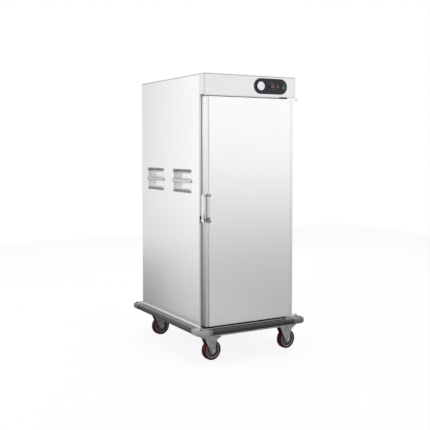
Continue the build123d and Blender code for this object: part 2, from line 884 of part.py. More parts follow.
with BuildPart() as thermostat_knob:
    with BuildSketch(Plane.XZ.offset(-knob_back_y)):
        with Locations((knob_x, panel_z)):
            Circle(knob_radius)
    extrude(amount=knob_skirt)
    chamfer(thermostat_knob.faces().sort_by(Axis.Y)[0].edges(), 1)
    with BuildSketch(Plane.XZ.offset(-knob_back_y)):
        with Locations((knob_x, panel_z)):
            Circle(knob_grip_radius)
            with PolarLocations(knob_grip_radius + 1.5, flute_count):
                Circle(3, mode=Mode.SUBTRACT)
    extrude(amount=knob_back_y - knob_front_y)
    with BuildSketch(Plane.XZ.offset(-(stem_end_y - 1))):
        with Locations((knob_x, panel_z)):
            Circle(stem_radius)
    extrude(amount=stem_end_y - 1 - knob_back_y)

thermostat_knob.part.label = "thermostat_knob"
export_step(thermostat_knob.part, "parts/thermostat_knob.step")

with BuildPart() as indicator_lamp:
    with BuildSketch(Plane.XZ.offset(-switch_back_y)):
        with Locations((lamp_x, panel_z)):
            Circle(lamp_radius)
    extrude(amount=switch_back_y - panel_face_y)
    with BuildSketch(Plane.XZ.offset(-panel_face_y)):
        with Locations((lamp_x, panel_z)):
            Circle(lamp_collar_radius)
    extrude(amount=lamp_collar_height)
    with BuildSketch(Plane.XZ.offset(-(panel_face_y - lamp_collar_height))):
        with Locations((lamp_x, panel_z)):
            Circle(lens_radius)
    extrude(amount=lens_height)
    fillet(indicator_lamp.faces().sort_by(Axis.Y)[0].edges(), lens_round)

indicator_lamp.part.label = "indicator_lamp"
export_step(indicator_lamp.part, "parts/indicator_lamp.step")

rocker_axis_y = panel_face_y + 3.0
rocker_radius = 15.0
rocker_width = 20.0
rocker_gap = 0.2
rocker_tilt = 8.0
rocker_axle_radius = 2.0
rocker_axle_length = 24.0
switch_bezel = 3.0
pocket_back_y = -456.0

with BuildPart() as switch_body:
    with BuildSketch(Plane.XZ.offset(-switch_back_y)):
        with Locations((switch_x, panel_z)):
            Rectangle(switch_width, switch_height)
    extrude(amount=switch_back_y - panel_face_y)
    with BuildSketch(Plane.XZ.offset(-panel_face_y)):
        with Locations((switch_x, panel_z)):
            RectangleRounded(switch_width + 4, switch_height + 4, 2)
    extrude(amount=switch_bezel)
    with BuildSketch(Plane.XZ.offset(-pocket_back_y)):
        with Locations((switch_x, panel_z)):
            Rectangle(rocker_width + 2 * rocker_gap, 2 * (rocker_radius + rocker_gap))
    extrude(amount=pocket_back_y - panel_face_y + switch_bezel, mode=Mode.SUBTRACT)
    with BuildSketch(Plane.YZ.offset(switch_x)):
        with Locations((rocker_axis_y, panel_z)):
            Circle(rocker_axle_radius + running_fit)
    extrude(amount=rocker_axle_length / 2 + rocker_gap, both=True, mode=Mode.SUBTRACT)

switch_body.part.label = "switch_body"
export_step(switch_body.part, "parts/switch_body.step")

tilt = radians(rocker_tilt)
rocker_plane = Plane(
    origin=(switch_x, rocker_axis_y, panel_z),
    x_dir=(0, cos(tilt), sin(tilt)),
    z_dir=(1, 0, 0),
)

with BuildPart() as switch_rocker:
    with BuildSketch(rocker_plane):
        Polygon((-6, 0), (-8.1, 16), (2, 16), (2, -16), (-8.1, -16), align=None)
        Circle(rocker_radius, mode=Mode.INTERSECT)
    extrude(amount=rocker_width / 2, both=True)
    with BuildSketch(rocker_plane):
        Circle(rocker_axle_radius)
    extrude(amount=rocker_axle_length / 2, both=True)

switch_rocker.part.label = "switch_rocker"
export_step(switch_rocker.part, "parts/switch_rocker.step")


# Pivot hinges: a strap on the base and one under the head, each with a shouldered stud

hinge_back_y = -433.0
hinge_length_y = hinge_back_y - front_y
strap_left = 270.0
strap_end_radius = hinge_length_y / 2
strap_thickness = 4.0
arm_thickness = 4.5
stud_radius = 5.0
shoulder_radius = 8.0
hinge_gap = 0.1
stud_nut_radius = 9.0
stud_nut_height = 7.0


def strap_outline():
    with BuildSketch() as outline:
        with Locations(((strap_left + pivot_x) / 2, pivot_y)):
            Rectangle(pivot_x - strap_left, hinge_length_y)
        with Locations((pivot_x, pivot_y)):
            Circle(strap_end_radius)
    return outline.sketch


with BuildPart() as hinge_plates:
    for low_z in (base_top, head_bottom - strap_thickness):
        with BuildSketch(Plane.XY.offset(low_z)):
            add(strap_outline())
            with Locations((pivot_x, pivot_y)):
                Circle(stud_radius, mode=Mode.SUBTRACT)
        extrude(amount=strap_thickness)

with BuildPart() as hinge_arms:
    for low_z in (door_bottom - arm_thickness, door_top):
        with BuildSketch(Plane.XY.offset(low_z)):
            add(strap_outline())
            with Locations((pivot_x, pivot_y)):
                Circle(stud_radius + running_fit, mode=Mode.SUBTRACT)
        extrude(amount=arm_thickness)

hinge_arms.part.label = "hinge_arms"
export_step(hinge_arms.part, "parts/hinge_arms.step")

with BuildPart() as hinge_studs:
    for seat_z, way in ((base_top, 1), (head_bottom, -1)):
        shoulder_z = seat_z + way * strap_thickness
        arm_z = door_bottom - arm_thickness if way > 0 else door_top + arm_thickness
        nut_z = arm_z + way * (arm_thickness + 3 * hinge_gap)
        with BuildSketch(Plane.XY.offset(seat_z)):
            with Locations((pivot_x, pivot_y)):
                Circle(stud_radius)
        extrude(amount=nut_z + way * (stud_nut_height + 1) - seat_z)
        with BuildSketch(Plane.XY.offset(shoulder_z)):
            with Locations((pivot_x, pivot_y)):
                Circle(shoulder_radius)
        extrude(amount=arm_z - way * hinge_gap - shoulder_z)
        with BuildSketch(Plane.XY.offset(nut_z)):
            with Locations((pivot_x, pivot_y)):
                RegularPolygon(stud_nut_radius, 6)
        extrude(amount=way * stud_nut_height)

fixed_hinges = Compound(label="fixed_hinges", children=[hinge_plates.part, hinge_studs.part])
export_step(fixed_hinges, "parts/fixed_hinges.step")

buffer_x = 235.0
buffer_y = -451.0
buffer_outline = (60.0, 16.0)
buffer_height = 8.8

with BuildPart() as door_buffer:
    with BuildSketch(Plane.XY.offset(head_bottom)):
        with Locations((buffer_x, buffer_y)):
            SlotOverall(*buffer_outline)
    extrude(amount=-buffer_height)
    fillet(door_buffer.faces().sort_by(Axis.Z)[0].edges(), 2)

door_buffer.part.label = "door_buffer"
export_step(door_buffer.part, "parts/door_buffer.step")


# Door: a folded skin and a back sheet round the insulation, with a gasket

door_x = (door_left + door_right) / 2
door_z = (door_bottom + door_top) / 2
door_width = door_right - door_left
door_height = door_top - door_bottom
skin_back_y = door_back_y - sheet
gasket_band = 12.0
gasket_inset = 4.0
gasket_front_gap = 0.3

# The skin steps back along the latch edge, in a strip and a slope.
step_strip = 12.0
step_slope = 8.0
step_depth = 7.0
step_radius = 4.0


def door_form(inset):
    face_y = front_y + inset
    step_y = face_y + step_depth
    left_x = door_left + inset
    with BuildPart() as form:
        with BuildSketch(Plane.XY.offset(door_bottom + inset)) as plan:
            with BuildLine():
                Polyline(
                    (left_x, skin_back_y),
                    (left_x, step_y),
                    (door_left + step_strip, step_y),
                    (door_left + step_strip + step_slope, face_y),
                    (door_right - inset, face_y),
                    (door_right - inset, skin_back_y),
                    close=True,
                )
            make_face()
            fillet(plan.vertices().group_by(Axis.Y)[0].sort_by(Axis.X)[-1], door_edge_radius - inset)
            fillet(plan.vertices().group_by(Axis.X)[0].sort_by(Axis.Y)[0], step_radius - inset)
        extrude(amount=door_height - 2 * inset)
    return form.part


door_outside = door_form(0)
door_core = door_form(door_skin_sheet)

with BuildPart() as door_skin:
    add(door_outside)
    add(door_core, mode=Mode.SUBTRACT)

door_skin.part.label = "door_skin"
export_step(door_skin.part, "parts/door_skin.step")

with BuildPart() as door_insulation:
    add(door_core)

door_insulation.part.label = "door_insulation"
export_step(door_insulation.part, "parts/door_insulation.step")

with BuildPart() as door_liner:
    with BuildSketch(Plane.XZ.offset(-door_back_y)):
        with Locations((door_x, door_z)):
            RectangleRounded(door_width, door_height, 3)
    extrude(amount=sheet)

door_liner.part.label = "door_liner"
export_step(door_liner.part, "parts/door_liner.step")

with BuildPart() as door_gasket:
    with BuildSketch(Plane.XZ.offset(-door_back_y)):
        with Locations((door_x, door_z)):
            RectangleRounded(door_width - 2 * gasket_inset, door_height - 2 * gasket_inset, 10)
            RectangleRounded(
                door_width - 2 * (gasket_inset + gasket_band),
                door_height - 2 * (gasket_inset + gasket_band),
                4,
                mode=Mode.SUBTRACT,
            )
    extrude(amount=door_back_y - frame_y + gasket_front_gap)

door_gasket.part.label = "door_gasket"
export_step(door_gasket.part, "parts/door_gasket.step")


# Latch: a pull lever on two pins at the door's left edge, and a roller strike on the frame

lever_pivot_x = -309.0
lever_pivot_y = -476.0
lever_bottom = 876.0
lever_top = 1046.0
lever_arm_height = 10.0
lever_arm_bottoms = (lever_bottom + 3.0, lever_top - 3.0 - lever_arm_height)
lever_eye_radius = 9.0
lever_elbow = (-345.0, -484.0)
lever_arm_radius = 5.0
grip_bar_x = -363.0
grip_bar_y = -487.0
grip_bar_half = (5.5, 8.0)
latch_base_left = door_left + 1.0
latch_base_right = -297.0
latch_base_sheet = 3.0
ear_radius = 8.0
ear_height = 5.0
ear_bottoms = (lever_arm_bottoms[0] - ear_height - 0.5, lever_arm_bottoms[1] + lever_arm_height + 0.5)
pin_radius = 3.0
tongue_left = -341.5
tongue_right = -338.0
tongue_back_y = -408.0
tongue_root_x = -318.0
tongue_root_y = (-482.0, -470.0)
tongue_gusset_y = -466.0
latch_base_y = front_y - latch_base_sheet
latch_base_x = (latch_base_left + latch_base_right) / 2

with BuildPart() as latch_body:
    with BuildSketch(Plane.XY.offset(ear_bottoms[0])):
        with BuildLine():
            Polyline(
                (latch_base_left, latch_base_y),
                (latch_base_left, front_y + step_depth),
                (door_left + step_strip, front_y + step_depth),
                (door_left + step_strip + step_slope, front_y),
                (latch_base_right, front_y),
                (latch_base_right, latch_base_y),
                close=True,
            )
        make_face()
    extrude(amount=ear_bottoms[1] + ear_height - ear_bottoms[0])
    for ear_z in ear_bottoms:
        with BuildSketch(Plane.XY.offset(ear_z)):
            with Locations((lever_pivot_x, lever_pivot_y)):
                Circle(ear_radius)
            with Locations((latch_base_x, front_y - latch_base_sheet / 2)):
                Rectangle(latch_base_right - latch_base_left, latch_base_sheet)
            make_hull()
            with Locations((lever_pivot_x, lever_pivot_y)):
                Circle(pin_radius, mode=Mode.SUBTRACT)
        extrude(amount=ear_height)

latch_body.part.label = "latch_body"
export_step(latch_body.part, "parts/latch_body.step")

with BuildPart() as latch_pins:
    for low_z in (ear_bottoms[0] - 2, lever_arm_bottoms[1] - 2):
        with BuildSketch(Plane.XY.offset(low_z)):
            with Locations((lever_pivot_x, lever_pivot_y)):
                Circle(pin_radius)
        extrude(amount=ear_height + lever_arm_height + 4.5)

latch_pins.part.label = "latch_pins"
export_step(latch_pins.part, "parts/latch_pins.step")

with BuildPart() as latch_lever:
    for arm_z in lever_arm_bottoms:
        with BuildSketch(Plane.XY.offset(arm_z)):
            with Locations((lever_pivot_x, lever_pivot_y)):
                Circle(lever_eye_radius)
            with Locations(lever_elbow):
                Circle(lever_arm_radius)
            make_hull()
        extrude(amount=lever_arm_height)
        with BuildSketch(Plane.XY.offset(arm_z)):
            with Locations(lever_elbow, (grip_bar_x, grip_bar_y)):
                Circle(lever_arm_radius)
            make_hull()
        extrude(amount=lever_arm_height)
    with BuildSketch(Plane.XY.offset(lever_arm_bottoms[0])):
        with BuildLine():
            Polyline(
                (tongue_left, tongue_root_y[0]),
                (tongue_left, tongue_back_y),
                (tongue_right, tongue_back_y),
                (tongue_right, tongue_gusset_y),
                (tongue_root_x, tongue_root_y[1]),
                (tongue_root_x, tongue_root_y[0]),
                close=True,
            )
        make_face()
    extrude(amount=lever_arm_height)
    with BuildSketch(Plane.XY.offset(lever_bottom)):
        with Locations((grip_bar_x, grip_bar_y)):
            Ellipse(*grip_bar_half)
    extrude(amount=lever_top - lever_bottom)
    fillet(latch_lever.faces().group_by(Axis.Z)[0].edges(), 2)
    fillet(latch_lever.faces().group_by(Axis.Z)[-1].edges(), 2)
    with BuildSketch(Plane.XY.offset(lever_bottom)):
        with Locations((lever_pivot_x, lever_pivot_y)):
            Circle(pin_radius + running_fit)
    extrude(amount=lever_top - lever_bottom, mode=Mode.SUBTRACT)

latch_lever.part.label = "latch_lever"
export_step(latch_lever.part, "parts/latch_lever.step")

strike_x = -330.0
roller_y = -415.0
roller_bottom = 874.0
roller_top = 912.0
roller_radius = 5.5
strike_ear = 3.0
strike_ear_radius = 6.0
strike_plate_width = 14.0
strike_plate_height = 54.0
strike_plate_sheet = 2.0
strike_pin_radius = 2.0

with BuildPart() as strike_bracket:
    with BuildSketch(Plane.XZ.offset(-frame_y)):
        with Locations((strike_x, (roller_bottom + roller_top) / 2)):
            Rectangle(strike_plate_width, strike_plate_height)
    extrude(amount=strike_plate_sheet)
    for ear_z in (roller_bottom - strike_ear - 1, roller_top + 1):
        with BuildSketch(Plane.XY.offset(ear_z)):
            with Locations((strike_x, (frame_y + roller_y) / 2)):
                Rectangle(2 * strike_ear_radius, frame_y - roller_y)
            with Locations((strike_x, roller_y)):
                Circle(strike_ear_radius)
        extrude(amount=strike_ear)
    with BuildSketch(Plane.XY.offset(roller_bottom - strike_ear - 1)):
        with Locations((strike_x, roller_y)):
            Circle(strike_pin_radius)
    extrude(amount=roller_top - roller_bottom + 2 * strike_ear + 2)

strike_bracket.part.label = "strike_bracket"
export_step(strike_bracket.part, "parts/strike_bracket.step")

with BuildPart() as strike_roller:
    with BuildSketch(Plane.XY.offset(roller_bottom)):
        with Locations((strike_x, roller_y)):
            Circle(roller_radius)
            Circle(strike_pin_radius + running_fit, mode=Mode.SUBTRACT)
    extrude(amount=roller_top - roller_bottom)

strike_roller.part.label = "strike_roller"
export_step(strike_roller.part, "parts/strike_roller.step")


# Castors: plates bolted under the frame, swivelling forks, wheels, and brakes in front

race_radius = 28.0
race_bottom = 153.0
kingpin_radius = 6.0
kingpin_bottom = 138.0
kingpin_nut = (10.0, 4.0)
kingpin_rivet = (8.0, 6.0)
plate_x = 84.0
plate_y = 100.0
plate_thickness = base_bottom - castor_plate_bottom
bolt_grid_x = 64.0
bolt_grid_y = 80.0
bolt_radius = 4.0
bolt_head_radius = 7.0
bolt_head_height = 5.3
head_top = 152.0
crown_top = 146.0
crown_sheet = 3.5
head_radius = 30.0
leg_inside = 21.0
leg_sheet = 3.0
axle_radius = 5.0
washer_radius = 13.0
washer_thickness = 1.5
axle_nut_radius = 9.0
axle_nut_height = 4.0
leg_foot_radius = 19.0
crown_back_x = -12.0
crown_length = 70.0
crown_mid_x = 14.0
brow_radius = 9.0
brow_z = crown_top - 7.0
rib_radius = 5.0
rib_height = 1.2
ear_root_radius = 12.0
pedal_x = trail + 24.0
pedal_z = 134.0
pedal_pin_radius = 3.0
pedal_head_radius = 6.5
pedal_head_height = 2.0
pedal_ear_radius = crown_top - pedal_z
core_radius = 50.0
core_half_width = 16.0
web_half_width = 6.0
hub_half_width = 19.0
hub_radius = 14.0
pedal_eye_radius = 8.0
pedal_tip_radius = 2.5
cam_eye_radius = 7.0
cam_nose_radius = 3.0

castor_places = {
    "fl": (-castor_x, castor_front_y),
    "fr": (castor_x, castor_front_y),
    "rl": (-castor_x, castor_rear_y),
    "rr": (castor_x, castor_rear_y),
}

with BuildPart() as castor_plates:
    for x, y in castor_places.values():
        with BuildSketch(Plane.XY.offset(castor_plate_bottom)):
            with Locations((x, y)):
                RectangleRounded(plate_x, plate_y, 8)
                with GridLocations(bolt_grid_x, bolt_grid_y, 2, 2):
                    Circle(bolt_radius, mode=Mode.SUBTRACT)
        extrude(amount=plate_thickness)
        with BuildSketch(Plane.XY.offset(castor_plate_bottom)):
            with Locations((x, y)):
                Circle(race_radius)
        extrude(amount=race_bottom - castor_plate_bottom, taper=30)
        with BuildSketch(Plane.XY.offset(castor_plate_bottom)):
            with Locations((x, y)):
                Circle(kingpin_radius)
        extrude(amount=kingpin_bottom - castor_plate_bottom)
        with BuildSketch(Plane.XY.offset(kingpin_bottom)):
            with Locations((x, y)):
                RegularPolygon(kingpin_nut[0], 6)
        extrude(amount=kingpin_nut[1])
        with BuildSketch(Plane.XY.offset(base_bottom)):
            with Locations((x, y)):
                Circle(kingpin_rivet[0])
        extrude(amount=kingpin_rivet[1])

castor_plates.part.label = "castor_plates"
export_step(castor_plates.part, "parts/castor_plates.step")

with BuildPart() as castor_bolts:
    for x, y in castor_places.values():
        with BuildSketch(Plane.XY.offset(base_bottom)):
            with Locations((x, y)):
                with GridLocations(bolt_grid_x, bolt_grid_y, 2, 2):
                    Circle(bolt_radius)
        extrude(amount=-plate_thickness)
        with BuildSketch(Plane.XY.offset(castor_plate_bottom)):
            with Locations((x, y)):
                with GridLocations(bolt_grid_x, bolt_grid_y, 2, 2):
                    RegularPolygon(bolt_head_radius, 6)
        extrude(amount=-bolt_head_height)

castor_bolts.part.label = "castor_bolts"
export_step(castor_bolts.part, "parts/castor_bolts.step")


def leg_outline(braked):
    # A waisted leg from the crown to the axle, with an ear for the pedal's pin on a braked fork.
    with BuildSketch() as leg:
        with Locations((crown_back_x, brow_z), (trail + brow_radius, brow_z)):
            Circle(brow_radius)
        with Locations((trail, wheel_radius)):
            Circle(leg_foot_radius)
        make_hull()
    if not braked:
        return leg.sketch
    with BuildSketch() as ear:
        with Locations((pedal_x, pedal_z)):
            Circle(pedal_ear_radius)
        with Locations((crown_back_x + 2 * brow_radius, brow_z)):
            Circle(brow_radius - 2)
        with Locations((trail - 2, wheel_radius + 34)):
            Circle(ear_root_radius)
        make_hull()
    return leg.sketch + ear.sketch


def castor_fork(braked):
    outline = leg_outline(braked)
    with BuildPart() as fork:
        with BuildSketch(Plane.XY.offset(crown_top)):
            Circle(head_radius)
        extrude(amount=head_top - crown_top)
        with BuildSketch(Plane.XY.offset(crown_top)):
            with Locations((crown_mid_x, 0)):
                Rectangle(crown_length, 2 * leg_inside)
        extrude(amount=-crown_sheet)
        with BuildSketch(Plane.XY.offset(head_top)):
            Circle(kingpin_radius + running_fit)
        extrude(amount=crown_top - crown_sheet - head_top, mode=Mode.SUBTRACT)
        for side in (-1, 1):
            inner_y = side * leg_inside
            outer_y = side * (leg_inside + leg_sheet)
            with BuildSketch(Plane.XZ.offset(-inner_y)):
                add(outline)
            extrude(amount=-side * leg_sheet)
            with BuildSketch(Plane.XZ.offset(-outer_y)):
                with Locations((2, brow_z - 4), (trail - 8, wheel_radius + 30)):
                    Circle(rib_radius)
                make_hull()
            extrude(amount=-side * rib_height)
            with BuildSketch(Plane.XZ.offset(-outer_y)):
                with Locations((trail, wheel_radius)):
                    Circle(washer_radius)
            extrude(amount=-side * washer_thickness)
            with BuildSketch(Plane.XZ.offset(-outer_y - side * washer_thickness)):
                with Locations((trail, wheel_radius)):
                    RegularPolygon(axle_nut_radius, 6)
            extrude(amount=-side * axle_nut_height)
            if braked:
                with BuildSketch(Plane.XZ.offset(-outer_y)):
                    with Locations((pedal_x, pedal_z)):
                        Circle(pedal_head_radius)
                extrude(amount=-side * pedal_head_height)
        with BuildSketch(Plane.XZ):
            with Locations((trail, wheel_radius)):
                Circle(axle_radius)
            if braked:
                with Locations((pedal_x, pedal_z)):
                    Circle(pedal_pin_radius)
        extrude(amount=leg_inside, both=True)
    return fork.part


with BuildPart() as wheel_core:
    with BuildSketch(Plane.YZ.offset(trail)):
        with BuildLine():
            Polyline(
                (-hub_half_width, wheel_radius + axle_radius + running_fit),
                (-hub_half_width, wheel_radius + hub_radius),
                (-web_half_width, wheel_radius + hub_radius + 3),
                (-web_half_width, wheel_radius + core_radius - 8),
                (-core_half_width, wheel_radius + core_radius - 5),
                (-core_half_width, wheel_radius + core_radius),
                (core_half_width, wheel_radius + core_radius),
                (core_half_width, wheel_radius + core_radius - 5),
                (web_half_width, wheel_radius + core_radius - 8),
                (web_half_width, wheel_radius + hub_radius + 3),
                (hub_half_width, wheel_radius + hub_radius),
                (hub_half_width, wheel_radius + axle_radius + running_fit),
                close=True,
            )
        make_face()
    revolve(axis=Axis((trail, 0, wheel_radius), (0, 1, 0)))

with BuildPart() as wheel_tyre:
    with BuildSketch(Plane.YZ.offset(trail)) as tyre_section:
        with Locations((0, wheel_radius + (wheel_radius + core_radius) / 2)):
            Rectangle(wheel_width, wheel_radius - core_radius)
        fillet(tyre_section.vertices().group_by(Axis.Y)[-1], 6)
    revolve(axis=Axis((trail, 0, wheel_radius), (0, 1, 0)))

with BuildPart() as brake_pedal:
    with BuildSketch(Plane.XZ):
        with Locations((pedal_x, pedal_z)):
            Circle(pedal_eye_radius)
        with Locations((pedal_x + 37, pedal_z + 7)):
            Circle(pedal_tip_radius)
        make_hull()
    extrude(amount=leg_inside - 2, both=True)
    with BuildSketch(Plane.XZ):
        with Locations((pedal_x, pedal_z)):
            Circle(cam_eye_radius)
        with Locations((pedal_x + 7, pedal_z - 10)):
            Circle(cam_nose_radius)
        make_hull()
    extrude(amount=leg_inside - 4, both=True)
    with BuildSketch(Plane.XZ):
        with Locations((pedal_x, pedal_z)):
            Circle(pedal_pin_radius + running_fit)
    extrude(amount=leg_inside, both=True, mode=Mode.SUBTRACT)

for name, (x, y) in castor_places.items():
    place = Location((x, y, 0), (0, 0, castor_turn))
    braked = name.startswith("f")
    pieces = {
        "castor_fork": castor_fork(braked),
        "castor_wheel": wheel_core.part,
        "castor_tyre": wheel_tyre.part,
    }
    if braked:
        pieces["brake_pedal"] = brake_pedal.part
    for kind, shape in pieces.items():
        placed = shape.moved(place)
        placed.label = f"{kind}_{name}"
        export_step(placed, f"parts/{kind}_{name}.step")
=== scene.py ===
import math
import bmesh
import bpy
from mathutils import Matrix, Vector


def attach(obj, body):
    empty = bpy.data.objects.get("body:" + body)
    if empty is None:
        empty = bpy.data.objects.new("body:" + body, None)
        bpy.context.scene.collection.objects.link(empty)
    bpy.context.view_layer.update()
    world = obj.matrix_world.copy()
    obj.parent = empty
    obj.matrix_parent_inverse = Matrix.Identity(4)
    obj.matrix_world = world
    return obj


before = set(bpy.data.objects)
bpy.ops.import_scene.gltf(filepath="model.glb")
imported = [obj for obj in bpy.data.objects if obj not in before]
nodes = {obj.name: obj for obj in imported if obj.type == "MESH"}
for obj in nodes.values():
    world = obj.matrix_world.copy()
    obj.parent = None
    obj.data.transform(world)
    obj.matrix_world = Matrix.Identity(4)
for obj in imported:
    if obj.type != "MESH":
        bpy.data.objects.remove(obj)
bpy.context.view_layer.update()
print("frame loaded,", len(nodes), "nodes")

millimetre = 0.001
scene = bpy.context.scene
scene.view_settings.view_transform = "Standard"


def addObject(name, data):
    made = bpy.data.objects.new(name, data)
    scene.collection.objects.link(made)
    return made


# Camera, fitted to the edges of the cabinet in the photograph

cameraFit = {
    "place": (-2.478, -4.360, 1.3175),
    "yaw": 29.61,            # degrees from straight back towards the right
    "pitch": 3.09,           # degrees down
    "focalPixels": 735.2,
    "imagePixels": 430,
    "sensor": 36.0,
    "shift": -0.06,
}


def addCamera(fit):
    data = bpy.data.cameras.new("camera")
    data.sensor_width = fit["sensor"]
    data.lens = fit["focalPixels"] * fit["sensor"] / fit["imagePixels"]
    data.shift_y = fit["shift"]
    camera = addObject("camera", data)
    camera.location = fit["place"]
    camera.rotation_euler = (math.radians(90 - fit["pitch"]), 0, math.radians(-fit["yaw"]))
    scene.camera = camera


addCamera(cameraFit)
print("camera set")


# Shader and geometry nodes, written as expressions

class Value:
    def __init__(self, board, socket):
        self.board = board
        self.socket = socket

    def maths(self, operation, first, second):
        return self.board.node("ShaderNodeMath", {"operation": operation}, {0: first, 1: second})

    def __add__(self, other):
        return self.maths("ADD", self, other)

    __radd__ = __add__

    def __sub__(self, other):
        return self.maths("SUBTRACT", self, other)

    def __rsub__(self, other):
        return self.maths("SUBTRACT", other, self)

    def __mul__(self, other):
        return self.maths("MULTIPLY", self, other)

    __rmul__ = __mul__

    def atLeast(self, other):
        return self.maths("MAXIMUM", self, other)


class Board:
    def __init__(self, tree):
        self.tree = tree

    def node(self, kind, settings=None, inputs=None, output=0):
        made = self.tree.nodes.new(kind)
        for key, value in (settings or {}).items():
            setattr(made, key, value)
        for key, value in (inputs or {}).items():
            if isinstance(value, Value):
                self.tree.links.new(value.socket, made.inputs[key])
            else:
                made.inputs[key].default_value = value
        return Value(self, made.outputs[output]) if made.outputs else None

    def place(self, scale=(1, 1, 1)):
        coordinates = self.node("ShaderNodeTexCoord", output="Object")
        return self.node("ShaderNodeMapping", {}, {"Vector": coordinates, "Scale": scale})

    def noise(self, vector, scale=1.0, detail=3.0, rough=0.55, warp=0.0):
        sizes = {"Vector": vector, "Scale": scale, "Detail": detail, "Roughness": rough, "Distortion": warp}
        return self.node("ShaderNodeTexNoise", {}, sizes)

    def ramp(self, value, low, high):
        return self.node("ShaderNodeMapRange", {"clamp": True}, {0: value, 1: low, 2: high, 3: 0.0, 4: 1.0})

    def blend(self, share, first, second, mode="MIX"):
        settings = {"data_type": "RGBA", "blend_type": mode}
        return self.node("ShaderNodeMix", settings, {0: share, 6: colour(first), 7: colour(second)}, output=2)

    def bump(self, height, distance, strength=1.0, normal=None):
        inputs = {"Height": height, "Distance": distance, "Strength": strength}
        if normal is not None:
            inputs["Normal"] = normal
        return self.node("ShaderNodeBump", {}, inputs)


def colour(value):
    # A tone of three numbers gets its alpha, and anything else stays as it is.
    return (*value, 1.0) if isinstance(value, tuple) and len(value) == 3 else value


def grey(level):
    return (level, level, level)


def newMaterial(name):
    material = bpy.data.materials.new(name)
    material.use_nodes = True
    material.node_tree.nodes.clear()
    return material, Board(material.node_tree)


def finishMaterial(material, board, sockets):
    inputs = {title: colour(value) for title, value in sockets.items()}
    shader = board.node("ShaderNodeBsdfPrincipled", {}, inputs)
    board.node("ShaderNodeOutputMaterial", {}, {"Surface": shader})
    return material


# Finishes. Heights and waves of a surface are in millimetres.

def shaded(board, tone, paintedLight):
    # Painted light: patches of painted shade and painted highlight laid over a tone. Each is a box in the cabinet's
    # frame, in metres, and its share says how strong its tone is. A fade names two heights: the patch is whole at the
    # first and gone at the second.
    parts = board.node("ShaderNodeTexCoord", output="Object")
    axes = [board.node("ShaderNodeSeparateXYZ", {}, {0: parts}, output=index) for index in range(3)]
    for shade in paintedLight:
        share, soft = 1.0, shade["soft"]
        for axis, (low, high) in shade["box"].items():
            place = axes["xyz".index(axis)]
            share = share * board.ramp(place, low - soft, low) * board.ramp(place, high + soft, high)
        if "fade" in shade:
            share = share * (1.0 - board.ramp(axes[2], *shade["fade"]))
        tone = board.blend(share * shade["share"], tone, shade["tone"])
    return tone


brushing = {
    "grain": {"detail": 2.0, "rough": 0.6}, "grainSpan": (0.30, 0.70), "grainBump": 0.6,
    "streaks": {"detail": 3.0, "rough": 0.5}, "streakSpan": (0.35, 0.75), "streakShare": 0.35, "streakHeight": 0.4,
    "clouds": {"scale": 2.2, "detail": 3.0, "rough": 0.5},
    "dust": {"scale": 38.0, "detail": 4.0, "rough": 0.6}, "dustSpan": (0.55, 0.80), "dustTone": (0.60, 0.60, 0.59),
}


def brushedSteel(name, look):
    material, board = newMaterial(name)
    grain = board.noise(board.place(look["grainScale"]), **brushing["grain"])
    streaks = board.noise(board.place(look["streakScale"]), **brushing["streaks"])
    clouds = board.noise(board.place(), **brushing["clouds"])
    dust = board.noise(board.place(), **brushing["dust"])
    tone = board.blend(board.ramp(grain, *brushing["grainSpan"]), look["dark"], look["light"])
    tone = board.blend(board.ramp(streaks, *brushing["streakSpan"]) * brushing["streakShare"], tone, look["light"])
    tone = board.blend(board.ramp(dust, *brushing["dustSpan"]) * look["dust"], tone, brushing["dustTone"])
    tone = shaded(board, tone, look.get("paintedLight", []))
    roughness = look["roughness"] + grain * look["grainRoughness"] + clouds * look["cloudRoughness"]
    height = grain + streaks * brushing["streakHeight"]
    normal = board.bump(height, look["grainHeight"] * millimetre, brushing["grainBump"])
    normal = board.bump(clouds, look["wave"] * millimetre, normal=normal)
    return finishMaterial(material, board, {
        "Base Color": tone,
        "Metallic": look.get("metallic", 1.0),
        "Roughness": roughness,
        "Normal": normal,
    })


# Painted shade: a dark grey line along the top edge of the walls and of the head.
roofEdgeShade = {"box": {"z": (1.7735, 1.7790)}, "soft": 0.0005, "share": 0.9, "tone": grey(0.40)}
# Painted light on the door: painted shade on its left edge and on the strip beside it, fading out towards the top; on
# the slope next to them, a painted highlight that is strongest high up and a painted dark line of shade that is
# strongest low down.
doorSideShade = {"box": {"x": (-0.330, -0.3215)}, "soft": 0.0003, "share": 0.95, "tone": grey(0.20), "fade": (0.05, 1.45)}
doorStepShade = {"box": {"x": (-0.330, -0.3105)}, "soft": 0.0010, "share": 0.35, "tone": grey(0.30), "fade": (0.10, 1.10)}
doorSlopeHighlight = {"box": {"x": (-0.3105, -0.3020)}, "soft": 0.0005, "share": 0.8, "tone": grey(1.0), "fade": (0.90, 0.50)}
doorFoldShade = {"box": {"x": (-0.3105, -0.3020)}, "soft": 0.0005, "share": 0.6, "tone": grey(0.30), "fade": (0.20, 1.00)}
# Painted shade: dark bands along the top and the foot of the grip pans' hollows.
gripRimShades = [
    {"box": {"z": (1.177, 1.200)}, "soft": 0.004, "share": 0.9, "tone": grey(0.20)},
    {"box": {"z": (1.040, 1.055)}, "soft": 0.004, "share": 0.9, "tone": grey(0.20)},
]
# Painted shade: dark along the latch's left edge, at its lower end and at the right of its upper end.
latchEndShades = [
    {"box": {"x": (-0.330, -0.3185)}, "soft": 0.0005, "share": 0.9, "tone": grey(0.10)},
    {"box": {"z": (0.860, 0.903)}, "soft": 0.002, "share": 0.8, "tone": grey(0.08)},
    {"box": {"z": (1.030, 1.060), "x": (-0.308, -0.290)}, "soft": 0.002, "share": 0.8, "tone": grey(0.10)},
]
# Painted shade: the lever's arms darker than its grip bar.
leverArmShades = [{"box": {"x": (-0.3560, -0.280)}, "soft": 0.001, "share": 0.85, "tone": grey(0.14)}]

